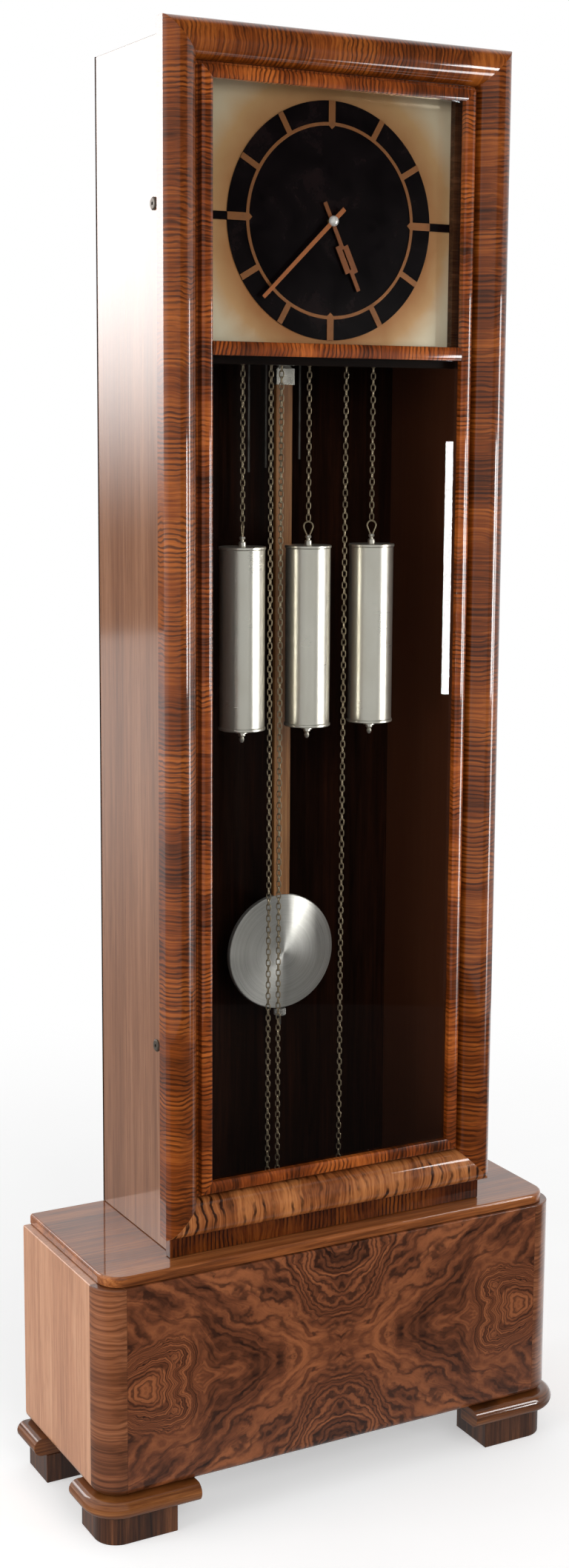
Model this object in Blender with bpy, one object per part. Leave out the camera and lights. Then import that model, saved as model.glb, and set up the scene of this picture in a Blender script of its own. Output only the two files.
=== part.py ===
"""Longcase clock: a glazed door over the whole front, three chain-driven weights and a seconds pendulum.

Metres, +Z up, the front faces -Y. The origin is on the floor under the middle of the clock.
"""

import math

import bmesh
import bpy
from mathutils import Matrix, Vector

for old in list(bpy.data.objects):
    bpy.data.objects.remove(old, do_unlink=True)

# Clearances
GAP = 0.0003
RUNNING = 0.0005

# Feet and base
FOOT_HEIGHT = 0.043
FOOT_LENGTH = 0.110
FOOT_DEPTH = 0.078
BACK_FOOT_DEPTH = 0.067
FOOT_INSET = 0.005
RAIL_THICK = 0.026
RAIL_OUT = 0.014
RAIL_WIDTH = 0.044
RAIL_OVERHANG = 0.028
BASE_WIDTH = 0.736
BASE_DEPTH = 0.276
BASE_HEIGHT = 0.2964
BASE_CORNER = 0.038
BASE_WALL = 0.020
BASE_EDGE = 0.014
BASE_BACK_THICK = 0.012
BASE_BOTTOM_THICK = 0.018
SLAB_THICK = 0.0147
SLAB_INSET = 0.011
SLAB_FRONT_INSET = 0.0045
SLAB_CORNER = 0.033
SLAB_NOSE = 0.004
SLAB_OPENING_MARGIN = 0.040

# Case
CASE_WIDTH = 0.484
CASE_DEPTH = 0.2272
CASE_HEIGHT = 1.6055
CASE_WALL = 0.020
CASE_TOP_THICK = 0.018
EDGE_BREAK = 0.001
BACK_THICK = 0.008
BACK_INSET = 0.009
STRIP_OUT = 0.008
STRIP_HEIGHT = 0.028
STRIP_THICK = 0.0140

# Door
DOOR_OVERHANG = 0.0175
DOOR_RISE = 0.0132
DOOR_UNDER_GAP = 0.002
DOOR_GAP = 0.0028
MOULD_WIDTH = 0.049
MOULD_EDGE = 0.0185
MOULD_RISE = 0.034
MOULD_LOW = 0.009
MOULD_CREST = 0.0206
MOULD_STEPS = 7
QUIRK = 0.0044
QUIRK_FLOOR = 0.008
BEAD_WIDTH = 0.0165
BEAD_RISE = 0.020
BEAD_SIDE = 0.0165
BEAD_LIP = 0.0105
REBATE = 0.0062
GLASS_THICK = 0.003
BAR_HEIGHT = 0.018
BAR_FIN = 0.006
BAR_BELOW_TOP = 0.403

# Dial and hands
DIAL_ABOVE_BAR = 0.169
SURROUND_STILE = 0.0355
SURROUND_HEAD = 0.0265
SURROUND_SILL = 0.024
SURROUND_BELOW_BAR = 0.019
SURROUND_THICK = 0.010
DOOR_TO_SURROUND = 0.0035
PLATE_LAP = 0.0125
PLATE_THICK = 0.002
DISC_RADIUS = 0.154
DISC_THICK = 0.0012
STUB_HEIGHT = 0.0105
RING_RADIUS = 0.1245
RING_WIDTH = 0.0044
CHAPTER_THICK = 0.0008
BAR_WIDE = 0.0100
BAR_NARROW = 0.0080
BAR_POINT = 0.0045
PIPE_RADIUS = 0.0045
ARBOR_RADIUS = 0.0022
HAND_THICK = 0.0015
HAND_SPACE = 0.0032
HOUR_LENGTH = 0.098
HOUR_TAIL = 0.0265
HOUR_STEM = 0.0055
HOUR_BLADE = 0.0075
HOUR_SLIT = 0.0018
HOUR_TURN = 155.0
MINUTE_LENGTH = 0.145
MINUTE_TAIL = 0.0235
MINUTE_WIDTH = 0.0062
MINUTE_TURN = 225.7
NUT_RADIUS = 0.0070
NUT_HEIGHT = 0.0062

# Movement, seat board and chime rods
SEAT_ABOVE_BAR = 0.015
SEAT_THICK = 0.018
SEAT_FRONT_GAP = 0.004
SEAT_DEPTH = 0.100
MOVEMENT_WIDTH = 0.250
MOVEMENT_HEIGHT = 0.200
MOVEMENT_PLATE = 0.0025
MOVEMENT_SPACE = 0.060
MOVEMENT_BEHIND_DIAL = 0.017
PILLAR_RADIUS = 0.005
PILLAR_MARGIN = 0.010
STUD_RADIUS = 0.0025
STUD_ABOVE_SEAT = 0.0297
CHIME_ROD_RADIUS = 0.002
CHIME_ROD_PITCH = 0.0273
CHIME_ROD_COUNT = 4
CHIME_ROD_LENGTH = 0.265
CHIME_ROD_STEP = 0.006
CHIME_CENTRE_X = 0.013
CHIME_BLOCK_HEIGHT = 0.030
CHIME_BLOCK_DEPTH = 0.032
CHIME_BELOW_DIAL = 0.066

# Weights and chains
WEIGHT_RADIUS = 0.031
WEIGHT_LENGTH = 0.250
WEIGHT_DROP = 0.572
WEIGHT_LIP = 0.0012
WEIGHT_LIP_HEIGHT = 0.004
WEIGHT_FROM_BACK = 0.165
WEIGHT_PLACES = {"left": -0.103, "middle": -0.001, "right": 0.100}
TAIL_SIDES = {"left": 1, "middle": -1, "right": -1}
CHAIN_SPREAD = 0.043
KNOB_RADIUS = 0.005
KNOB_HEIGHT = 0.018
HOOK_RADIUS = 0.009
HOOK_WIRE = 0.002
HOOK_STEM = 0.014
CHAIN_RADIUS = 0.0026
AXLE_ABOVE_SEAT = 0.0297
WHEEL_FLANGE = 0.0015
WHEEL_RIM = 0.003
AXLE_RADIUS = 0.003
TAIL_DROP = 1.325
TAIL_END_RADIUS = 0.0055
TAIL_END_LENGTH = 0.022
SEAT_SLOT = 0.010

# Pendulum
PENDULUM_FROM_BACK = 0.089
ROD_WIDTH = 0.026
ROD_THICK = 0.008
PENDULUM_LENGTH = 0.912
BOB_RADIUS = 0.0855
BOB_THICK = 0.022
BOB_RIM = 0.004
FITTING_WIDTH = 0.029
FITTING_THICK = 0.014
FITTING_DROP = 0.068
FITTING_CAP = 0.017
FITTING_EDGE = 0.0015
FITTING_GRIP = 0.036
HANGER_WIDTH = 0.009
HANGER_THICK = 0.0024
EYE_RADIUS = 0.0065
SCREW_RADIUS = 0.002
SCREW_LENGTH = 0.034
RATING_RADIUS = 0.009
RATING_HEIGHT = 0.010

# Hinge and latches
HINGE_RADIUS = 0.0032
HINGE_PIN = 0.0014
HINGE_OUT = 0.0036
HINGE_LEAF = 0.012
HINGE_LEAF_THICK = 0.0009
HINGE_KNUCKLES = 7
HINGE_END = 0.040
LATCH_FROM_DOOR_TOP = 0.221
LATCH_FROM_DOOR_FOOT = 0.2537
LATCH_FROM_FRONT = 0.042
LATCH_SPINDLE = 0.0035
LATCH_ROSETTE = 0.0085
LATCH_ROSETTE_THICK = 0.0025
LATCH_SOCKET = 0.004
LATCH_REACH = 0.030
LATCH_ARM_WIDTH = 0.011
LATCH_ARM_THICK = 0.003
LATCH_ARM_INSIDE = 0.005
LATCH_PLAY = 0.0012
CATCH_PIN = 0.002
CATCH_PLATE = 0.0012
CATCH_LUG = 0.002
CATCH_HEIGHT = 0.022

# Levels and planes that follow from the sizes above
RAIL_Z = FOOT_HEIGHT + GAP
BASE_Z = RAIL_Z + RAIL_THICK + GAP
SLAB_Z = BASE_Z + BASE_HEIGHT + GAP
CASE_Z = SLAB_Z + SLAB_THICK + GAP
CASE_TOP_Z = CASE_Z + CASE_HEIGHT
DOOR_Z = CASE_Z + STRIP_HEIGHT + DOOR_UNDER_GAP
DOOR_TOP_Z = CASE_TOP_Z + DOOR_RISE
DOOR_HEIGHT = DOOR_TOP_Z - DOOR_Z
DOOR_WIDTH = CASE_WIDTH + 2 * DOOR_OVERHANG
BAR_Z = DOOR_TOP_Z - BAR_BELOW_TOP
LATCH_HEIGHTS = {"upper": DOOR_TOP_Z - LATCH_FROM_DOOR_TOP, "lower": DOOR_Z + LATCH_FROM_DOOR_FOOT}
BACK_Y = (BASE_DEPTH + RAIL_OUT) / 2
BASE_FRONT_Y = BACK_Y - BASE_DEPTH
CASE_FRONT_Y = BACK_Y - CASE_DEPTH
DOOR_BACK_Y = CASE_FRONT_Y - DOOR_GAP
CASE_INNER_X = CASE_WIDTH / 2 - CASE_WALL
BACK_PANEL_Y = BACK_Y - BACK_INSET - BACK_THICK
BEAD_START = MOULD_WIDTH + GAP + QUIRK
GLASS_SIGHT = BEAD_START + BEAD_WIDTH
GLASS_EDGE = GLASS_SIGHT - REBATE
DIAL_CENTRE = BAR_Z + DIAL_ABOVE_BAR
DIAL_OPENING_HALF = CASE_INNER_X - SURROUND_STILE
SURROUND_BOTTOM = BAR_Z - SURROUND_BELOW_BAR
DIAL_OPENING_BOTTOM = SURROUND_BOTTOM + SURROUND_SILL
DIAL_OPENING_TOP = CASE_TOP_Z - CASE_TOP_THICK - SURROUND_HEAD
SURROUND_FRONT_Y = DOOR_BACK_Y + DOOR_TO_SURROUND
PLATE_Y = SURROUND_FRONT_Y + SURROUND_THICK + GAP
DISC_Y = PLATE_Y - GAP - DISC_THICK
CHAPTER_Y = DISC_Y - GAP - CHAPTER_THICK
HOUR_Y = CHAPTER_Y - HAND_SPACE
MINUTE_Y = HOUR_Y - HAND_SPACE
SEAT_BOTTOM = BAR_Z + SEAT_ABOVE_BAR
MOVEMENT_Y = PLATE_Y + MOVEMENT_BEHIND_DIAL
MOVEMENT_Z = SEAT_BOTTOM + SEAT_THICK + GAP
CHAIN_AXLE = MOVEMENT_Z + AXLE_ABOVE_SEAT
WEIGHT_BOTTOM = CHAIN_AXLE - WEIGHT_DROP
TAIL_BOTTOM = CHAIN_AXLE - TAIL_DROP
STUD_HEIGHT = MOVEMENT_Z + STUD_ABOVE_SEAT
FITTING_TOP = STUD_HEIGHT - FITTING_DROP
ROD_TOP = FITTING_TOP - FITTING_CAP
BOB_HEIGHT = STUD_HEIGHT - PENDULUM_LENGTH
CHIME_BLOCK_BOTTOM = DIAL_CENTRE - CHIME_BELOW_DIAL
MOVEMENT_BACK_Y = MOVEMENT_Y + 2 * MOVEMENT_PLATE + MOVEMENT_SPACE
SEAT_FRONT_Y = PLATE_Y + PLATE_THICK + SEAT_FRONT_GAP
WEIGHT_Y = BACK_Y - WEIGHT_FROM_BACK
PENDULUM_Y = BACK_Y - PENDULUM_FROM_BACK
HINGE_X = CASE_WIDTH / 2 + HINGE_OUT
HINGE_Y = CASE_FRONT_Y - DOOR_GAP / 2
LATCH_Y = CASE_FRONT_Y + LATCH_FROM_FRONT


# Materials

def paint(name, colour, roughness, metallic, transmission=0.0):
    """A plain surface of one colour, given as red, green and blue from 0 to 1."""
    material = bpy.data.materials.new(name)
    material.use_nodes = True
    shader = material.node_tree.nodes["Principled BSDF"]
    shader.inputs["Base Color"].default_value = (*colour, 1.0)
    shader.inputs["Roughness"].default_value = roughness
    shader.inputs["Metallic"].default_value = metallic
    shader.inputs["Transmission Weight"].default_value = transmission
    return material


# Each look is a colour, a roughness, a metallic value and, for glass, how much light passes through
WALNUT = ((0.155, 0.052, 0.018), 0.15, 0.0)
WALNUT_DARK = ((0.055, 0.024, 0.012), 0.30, 0.0)
WALNUT_PALE = ((0.270, 0.120, 0.045), 0.22, 0.0)
BURL = ((0.130, 0.045, 0.018), 0.12, 0.0)
INSIDE = ((0.040, 0.020, 0.012), 0.45, 0.0)
ROD_WOOD = ((0.190, 0.085, 0.035), 0.35, 0.0)
NICKEL = ((0.560, 0.550, 0.520), 0.18, 1.0)
BRUSHED = ((0.500, 0.490, 0.470), 0.35, 1.0)
BRASS = ((0.520, 0.360, 0.130), 0.30, 1.0)
CHAMPAGNE = ((0.420, 0.330, 0.200), 0.28, 1.0)
COPPER = ((0.330, 0.130, 0.055), 0.30, 1.0)
BLACK = ((0.010, 0.008, 0.009), 0.35, 0.0)
GLASS = ((0.950, 0.970, 0.970), 0.02, 0.0, 1.0)
TOOL = ((0.500, 0.500, 0.500), 0.50, 0.0)


# Solids

def add(name, bm, look, parent=None, smooth=True):
    """Turns a built mesh into a named object that keeps its place when it has a parent."""
    bmesh.ops.recalc_face_normals(bm, faces=bm.faces)
    mesh = bpy.data.meshes.new(name)
    bm.to_mesh(mesh)
    bm.free()
    if smooth:
        mesh.shade_smooth()
        mesh.set_sharp_from_angle(angle=math.radians(35))
    mesh.materials.append(paint(name, *look))
    obj = bpy.data.objects.new(name, mesh)
    bpy.context.collection.objects.link(obj)
    if parent:
        obj.parent = parent
        obj.matrix_parent_inverse = Matrix.Translation(-parent.location)
    return obj


def axis_empty(name, place):
    """A marker on a joint's axis, which carries the pieces that move about it."""
    empty = bpy.data.objects.new(name, None)
    empty.location = place
    bpy.context.collection.objects.link(empty)
    return empty


def helper(name, bm):
    """A shape that only cuts or joins another one."""
    obj = add(name, bm, TOOL, smooth=False)
    obj.hide_render = True
    obj.display_type = "WIRE"
    return obj


def combine(obj, bm, operation):
    """Cuts the built mesh out of an object, or joins it to the object."""
    count = len(obj.modifiers)
    modifier = obj.modifiers.new(f"{operation.lower()}_{count}", "BOOLEAN")
    modifier.operation = operation
    modifier.solver = "EXACT"
    modifier.object = helper(f"{obj.name}_tool_{count}", bm)


def soften(obj, width):
    """Breaks the sharp edges of a board."""
    modifier = obj.modifiers.new("edges", "BEVEL")
    modifier.width = width
    modifier.segments = 1
    modifier.limit_method = "ANGLE"


def box(low, high, bm=None):
    bm = bm or bmesh.new()
    low, high = Vector(low), Vector(high)
    place = Matrix.Translation((low + high) / 2) @ Matrix.Diagonal((*(high - low), 1.0))
    bmesh.ops.create_cube(bm, size=1.0, matrix=place)
    return bm


def prism(outline, low, high, axis, bm=None):
    """An outline drawn in the plane square to an axis, run out along that axis."""
    bm = bm or bmesh.new()
    lift = {"X": lambda a, b, c: (c, a, b),
            "Y": lambda a, b, c: (a, c, b),
            "Z": lambda a, b, c: (a, b, c)}[axis]
    ends = [[bm.verts.new(lift(a, b, level)) for a, b in outline] for level in (low, high)]
    bridge(bm, ends, closed_path=False)
    return bm


def bridge(bm, rings, closed_path):
    """Walls between rings of equal count; flat caps on the two ends, or none where the path closes."""
    count = len(rings[0])
    pairs = list(zip(rings, rings[1:]))
    if closed_path:
        pairs.append((rings[-1], rings[0]))
    for first, second in pairs:
        for k in range(count):
            after = (k + 1) % count
            bm.faces.new((first[k], first[after], second[after], second[k]))
    if not closed_path:
        bm.faces.new(rings[0])
        bm.faces.new(rings[-1])


def swept(profile, stations):
    """A closed profile of (depth, height) points carried along stations of (place, inward direction)."""
    bm = bmesh.new()
    rings = []
    for place, inward in stations:
        ring = []
        for depth, height in profile:
            ring.append(bm.verts.new(Vector(place) + Vector(inward) * depth + Vector((0, 0, height))))
        rings.append(ring)
    bridge(bm, rings, closed_path=False)
    return bm


def turned(profile, place, axis, steps, bm=None):
    """A solid of revolution from (radius, distance along the axis) points that start and end on the axis."""
    bm = bm or bmesh.new()
    place = Vector(place)
    turn = {"X": lambda r, a, t: (t, r * math.cos(a), r * math.sin(a)),
            "Y": lambda r, a, t: (r * math.sin(a), t, r * math.cos(a)),
            "Z": lambda r, a, t: (r * math.cos(a), r * math.sin(a), t)}[axis]
    first = bm.verts.new(place + Vector(turn(0.0, 0.0, profile[0][1])))
    last = bm.verts.new(place + Vector(turn(0.0, 0.0, profile[-1][1])))
    angles = [2 * math.pi * k / steps for k in range(steps)]
    rings = []
    for radius, along in profile[1:-1]:
        rings.append([bm.verts.new(place + Vector(turn(radius, a, along))) for a in angles])
    for ring, after in zip(rings, rings[1:]):
        for k in range(steps):
            bm.faces.new((ring[k], ring[(k + 1) % steps], after[(k + 1) % steps], after[k]))
    for k in range(steps):
        bm.faces.new((first, rings[0][k], rings[0][(k + 1) % steps]))
        bm.faces.new((last, rings[-1][k], rings[-1][(k + 1) % steps]))
    return bm


def cylinder(radius, low, high, place, axis, steps=20, bm=None):
    return turned([(0, low), (radius, low), (radius, high), (0, high)], place, axis, steps, bm)


def torus(radius, wire, place, steps=20, sides=8):
    """A ring of round wire that stands in the XZ plane."""
    bm = bmesh.new()
    rings = []
    for k in range(steps):
        a = 2 * math.pi * k / steps
        ring = []
        for n in range(sides):
            b = 2 * math.pi * n / sides
            reach = radius + wire * math.cos(b)
            ring.append(bm.verts.new((place[0] + reach * math.cos(a), place[1] + wire * math.sin(b),
                                      place[2] + reach * math.sin(a))))
        rings.append(ring)
    bridge(bm, rings, closed_path=True)
    return bm


def corner_arc(centre, radius, start, steps):
    """Points of a quarter circle that begins at the start angle, in degrees, and runs anticlockwise."""
    points = []
    for k in range(steps + 1):
        a = math.radians(start + 90.0 * k / steps)
        points.append((centre[0] + radius * math.cos(a), centre[1] + radius * math.sin(a)))
    return points


def board_outline(half_width, front, back, corner, steps=8):
    """The plan of a board whose two front corners are round."""
    left = corner_arc((-half_width + corner, front + corner), corner, 180.0, steps)
    right = corner_arc((half_width - corner, front + corner), corner, 270.0, steps)
    return left + right + [(half_width, back), (-half_width, back)]


def plate(loops, thickness, y, turn=0.0):
    """A flat plate on the dial's centre from upright outlines, the inner ones holes, turned clockwise."""
    data = bpy.data.curves.new("outline", "CURVE")
    data.dimensions = "2D"
    data.fill_mode = "BOTH"
    data.extrude = thickness / 2
    for loop in loops:
        spline = data.splines.new("POLY")
        spline.points.add(len(loop) - 1)
        spline.use_cyclic_u = True
        for point, (a, b) in zip(spline.points, loop):
            point.co = (a, b, 0.0, 1.0)
    drawn = bpy.data.objects.new("outline", data)
    bpy.context.collection.objects.link(drawn)
    bpy.context.view_layer.update()
    graph = bpy.context.evaluated_depsgraph_get()
    mesh = bpy.data.meshes.new_from_object(drawn.evaluated_get(graph))
    bm = bmesh.new()
    bm.from_mesh(mesh)
    bmesh.ops.remove_doubles(bm, verts=bm.verts, dist=1e-6)
    stand = Matrix.Translation((0.0, y + thickness / 2, DIAL_CENTRE))
    spin = Matrix.Rotation(math.radians(turn), 4, "Y")
    bmesh.ops.transform(bm, verts=bm.verts, matrix=stand @ spin @ Matrix.Rotation(math.pi / 2, 4, "X"))
    bpy.data.objects.remove(drawn)
    bpy.data.curves.remove(data)
    bpy.data.meshes.remove(mesh)
    return bm


def circle(radius, steps):
    return [(radius * math.cos(2 * math.pi * k / steps), radius * math.sin(2 * math.pi * k / steps))
            for k in range(steps)]


# Feet: a block under each corner and a half-round rail on top of it

def rail_profile():
    """A rail's section: flat inside, half round outside."""
    radius = RAIL_THICK / 2
    nose = []
    for k in range(9):
        a = math.radians(-90.0 + 180.0 * k / 8)
        nose.append((radius - radius * math.cos(a), radius + radius * math.sin(a)))
    return nose + [(RAIL_WIDTH, RAIL_THICK), (RAIL_WIDTH, 0.0)]


def front_rail(name, side):
    """The rail of a front foot, from its end on the side round the corner to its end on the front."""
    outer = BASE_WIDTH / 2 + RAIL_OUT
    front = BASE_FRONT_Y - RAIL_OUT
    radius = BASE_CORNER + RAIL_OUT
    centre = (outer - radius, front + radius)
    stations = [((side * outer, BASE_FRONT_Y + FOOT_INSET + FOOT_DEPTH, RAIL_Z), (-side, 0, 0))]
    for k in range(9):
        a = math.radians(90.0 * k / 8)
        outward = (side * math.cos(a), -math.sin(a))
        stations.append(((side * centre[0] + radius * outward[0], centre[1] + radius * outward[1], RAIL_Z),
                         (-outward[0], -outward[1], 0)))
    end = BASE_WIDTH / 2 - FOOT_INSET - FOOT_LENGTH - RAIL_OVERHANG
    stations.append(((side * end, front, RAIL_Z), (0, 1, 0)))
    add(name, swept(rail_profile(), stations), WALNUT_PALE)


def back_rail(name, side):
    outer = BASE_WIDTH / 2 + RAIL_OUT
    stations = [((side * outer, y, RAIL_Z), (-side, 0, 0)) for y in (BACK_Y - BACK_FOOT_DEPTH, BACK_Y)]
    add(name, swept(rail_profile(), stations), WALNUT_PALE)


def front_block(name, side):
    """A block with the round corner of the base above it."""
    radius = BASE_CORNER - FOOT_INSET
    outer = BASE_WIDTH / 2 - FOOT_INSET
    front = BASE_FRONT_Y + FOOT_INSET
    arc = corner_arc((outer - radius, front + radius), radius, 270.0, 8)
    inner = outer - FOOT_LENGTH
    back = front + FOOT_DEPTH
    outline = [(inner, front), *arc, (outer, back), (inner, back)]
    add(name, prism([(side * x, y) for x, y in outline], 0.0, FOOT_HEIGHT, "Z"), WALNUT_DARK)


def back_block(name, side):
    outer = BASE_WIDTH / 2 - FOOT_INSET
    xs = sorted((side * outer, side * (outer - FOOT_LENGTH)))
    add(name, box((xs[0], BACK_Y - BACK_FOOT_DEPTH, 0.0), (xs[1], BACK_Y, FOOT_HEIGHT)), WALNUT_DARK)


for side_name, side in (("left", -1), ("right", 1)):
    front_block(f"foot_front_{side_name}", side)
    back_block(f"foot_back_{side_name}", side)
    front_rail(f"rail_front_{side_name}", side)
    back_rail(f"rail_back_{side_name}", side)


# Base box: a front board bent round both corners, two sides, a back and a bottom

def wall_profile():
    """A base wall's section: round at the lower outer edge, broken at the upper one."""
    edge = []
    for k in range(7):
        a = math.radians(90.0 * k / 6)
        edge.append((BASE_EDGE * (1 - math.sin(a)), BASE_EDGE * (1 - math.cos(a))))
    broken = BASE_EDGE / 8
    top = BASE_HEIGHT
    return edge + [(0.0, top - broken), (broken, top), (BASE_WALL, top), (BASE_WALL, 0.0)]


def base_front():
    """The burl front, bent round both corners: left corner first, then the right one."""
    centre_x = BASE_WIDTH / 2 - BASE_CORNER
    centre_y = BASE_FRONT_Y + BASE_CORNER
    stations = []
    for side, start in ((-1, 180.0), (1, 270.0)):
        for k in range(9):
            a = math.radians(start + 90.0 * k / 8)
            x = side * centre_x + BASE_CORNER * math.cos(a)
            y = centre_y + BASE_CORNER * math.sin(a)
            stations.append(((x, y, BASE_Z), (-math.cos(a), -math.sin(a), 0)))
    add("base_front", swept(wall_profile(), stations), BURL)


def base_side(name, side):
    start = BASE_FRONT_Y + BASE_CORNER + GAP
    stations = [((side * BASE_WIDTH / 2, y, BASE_Z), (-side, 0, 0)) for y in (start, BACK_Y)]
    add(name, swept(wall_profile(), stations), WALNUT)


base_front()
base_side("base_side_left", -1)
base_side("base_side_right", 1)
base_inner = BASE_WIDTH / 2 - BASE_WALL - GAP
base_back_y = BACK_Y - BASE_BACK_THICK
base_top_z = BASE_Z + BASE_HEIGHT
add("base_back", box((-base_inner, base_back_y, BASE_Z), (base_inner, BACK_Y, base_top_z)), INSIDE)
bottom_front = BASE_FRONT_Y + BASE_WALL + GAP
bottom_plan = board_outline(base_inner, bottom_front, base_back_y - GAP, BASE_CORNER - BASE_WALL)
add("base_bottom", prism(bottom_plan, BASE_Z, BASE_Z + BASE_BOTTOM_THICK, "Z"), INSIDE)


# Base top slab: round front corners, a nosed upper edge and a way down for the chain tails

def slab():
    half = BASE_WIDTH / 2 - SLAB_INSET
    front = BASE_FRONT_Y + SLAB_FRONT_INSET
    bm = bmesh.new()
    levels = [(0.0, 0.0)]
    for k in range(4):
        a = math.radians(90.0 * k / 3)
        levels.append((SLAB_NOSE * (1 - math.cos(a)), SLAB_THICK - SLAB_NOSE + SLAB_NOSE * math.sin(a)))
    rings = []
    for inset, height in levels:
        plan = board_outline(half - inset, front + inset, BACK_Y, SLAB_CORNER - inset)
        rings.append([bm.verts.new((x, y, SLAB_Z + height)) for x, y in plan])
    bridge(bm, rings, closed_path=False)
    made = add("base_top", bm, WALNUT)
    inner = CASE_INNER_X - SLAB_OPENING_MARGIN / 2
    low = (-inner, CASE_FRONT_Y + SLAB_OPENING_MARGIN, SLAB_Z - SLAB_THICK)
    high = (inner, BACK_PANEL_Y - SLAB_OPENING_MARGIN / 2, SLAB_Z + 2 * SLAB_THICK)
    combine(made, box(low, high), "DIFFERENCE")


slab()


# Case: two sides, a top, a back and the strip under the door

def case_side(name, side):
    xs = sorted((side * CASE_WIDTH / 2, side * CASE_INNER_X))
    made = add(name, box((xs[0], CASE_FRONT_Y, CASE_Z), (xs[1], BACK_Y, CASE_TOP_Z)), WALNUT, smooth=False)
    soften(made, EDGE_BREAK)
    return made


left_side = case_side("case_side_left", -1)
case_side("case_side_right", 1)
for height in LATCH_HEIGHTS.values():
    hole = cylinder(LATCH_SPINDLE + RUNNING, -CASE_WIDTH, 0.0, (0.0, LATCH_Y, height), "X", 16)
    combine(left_side, hole, "DIFFERENCE")
case_fit = CASE_INNER_X - GAP
top_low = (-case_fit, CASE_FRONT_Y, CASE_TOP_Z - CASE_TOP_THICK)
add("case_top", box(top_low, (case_fit, BACK_Y, CASE_TOP_Z)), WALNUT)
back_high = CASE_TOP_Z - CASE_TOP_THICK - GAP
back_low = (-case_fit, BACK_PANEL_Y, CASE_Z)
add("case_back", box(back_low, (case_fit, BACK_PANEL_Y + BACK_THICK, back_high)), INSIDE)
strip_back = CASE_FRONT_Y - GAP
strip_half = CASE_WIDTH / 2 + STRIP_OUT
strip_low = (-strip_half, strip_back - STRIP_THICK, CASE_Z)
strip_high = (strip_half, strip_back, CASE_Z + STRIP_HEIGHT)
strip = add("case_strip", box(strip_low, strip_high), WALNUT, smooth=False)
soften(strip, EDGE_BREAK)


# Door: four mitred cushion mouldings, a glazing moulding, a crossbar and two glasses

door_axis = axis_empty("door_axis", (HINGE_X, HINGE_Y, DOOR_Z))


def cushion_profile():
    """The outer moulding's section as (inset from the door's edge, distance forward of the door's back)."""
    points = [(0.0, 0.0)]
    for k in range(MOULD_STEPS):
        u = math.cos(math.radians(90.0 * k / MOULD_STEPS))
        swell = (1 - u ** 2.4) ** 0.625
        points.append((MOULD_CREST * (1 - u), MOULD_EDGE + (MOULD_RISE - MOULD_EDGE) * swell))
    for k in range(MOULD_STEPS + 1):
        u = math.sin(math.radians(90.0 * k / MOULD_STEPS))
        swell = (1 - u ** 2.4) ** 0.625
        inset = MOULD_CREST + (MOULD_WIDTH - MOULD_CREST) * u
        points.append((inset, MOULD_LOW + (MOULD_RISE - MOULD_LOW) * swell))
    points.append((MOULD_WIDTH, 0.0))
    return points


def bead_profile():
    """The glazing moulding's section: a sunk line, a bead round on both edges and a rebate for the glass."""
    points = [(MOULD_WIDTH + GAP, 0.0), (MOULD_WIDTH + GAP, QUIRK_FLOOR), (BEAD_START, QUIRK_FLOOR)]
    for k in range(9):
        a = math.radians(180.0 - 180.0 * k / 8)
        inset = BEAD_START + BEAD_WIDTH * (1 + math.cos(a)) / 2
        points.append((inset, BEAD_SIDE + (BEAD_RISE - BEAD_SIDE) * math.sin(a) ** 0.5))
    points.append((GLASS_SIGHT, BEAD_LIP))
    points.append((GLASS_EDGE, BEAD_LIP))
    points.append((GLASS_EDGE, 0.0))
    return points


def mitred(name, length, inward, middle):
    """A straight moulding cut at 45 degrees at both ends, its inner edge towards the inward direction."""
    bm = bmesh.new()
    inward = Vector(inward)
    middle = Vector(middle)
    along = Vector((0, 1, 0)).cross(inward)
    rings = []
    for end in (-1, 1):
        ring = []
        for inset, forward in cushion_profile():
            reach = end * (length / 2 - inset - GAP)
            ring.append(bm.verts.new(middle + along * reach + inward * inset - Vector((0, forward, 0))))
        rings.append(ring)
    bridge(bm, rings, closed_path=False)
    return add(name, bm, WALNUT, door_axis)


def glazing_moulding():
    """The glazing moulding in one piece: its closed section carried round four mitred corners."""
    bm = bmesh.new()
    rings = []
    for inset, forward in bead_profile():
        w = door_half - inset
        low = DOOR_Z + inset
        high = DOOR_TOP_Z - inset
        rings.append([bm.verts.new((x, DOOR_BACK_Y - forward, z)) for x, z in
                      ((-w, low), (w, low), (w, high), (-w, high))])
    bridge(bm, rings, closed_path=True)
    add("door_glazing_moulding", bm, WALNUT, door_axis)


def bar_profile(centre):
    """The crossbar's section: a front bar with round edges and a fin between the two glasses."""
    half = BAR_HEIGHT / 2
    points = []
    for k in range(9):
        a = math.radians(180.0 * k / 8)
        forward = BEAD_SIDE + (BEAD_RISE - BEAD_SIDE) * math.sin(a) ** 0.5
        points.append((DOOR_BACK_Y - forward, centre - half * math.cos(a)))
    lip = DOOR_BACK_Y - BEAD_LIP
    fin = BAR_FIN / 2
    return points + [(lip, centre + half), (lip, centre + fin), (DOOR_BACK_Y, centre + fin),
                     (DOOR_BACK_Y, centre - fin), (lip, centre - fin), (lip, centre - half)]


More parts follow.
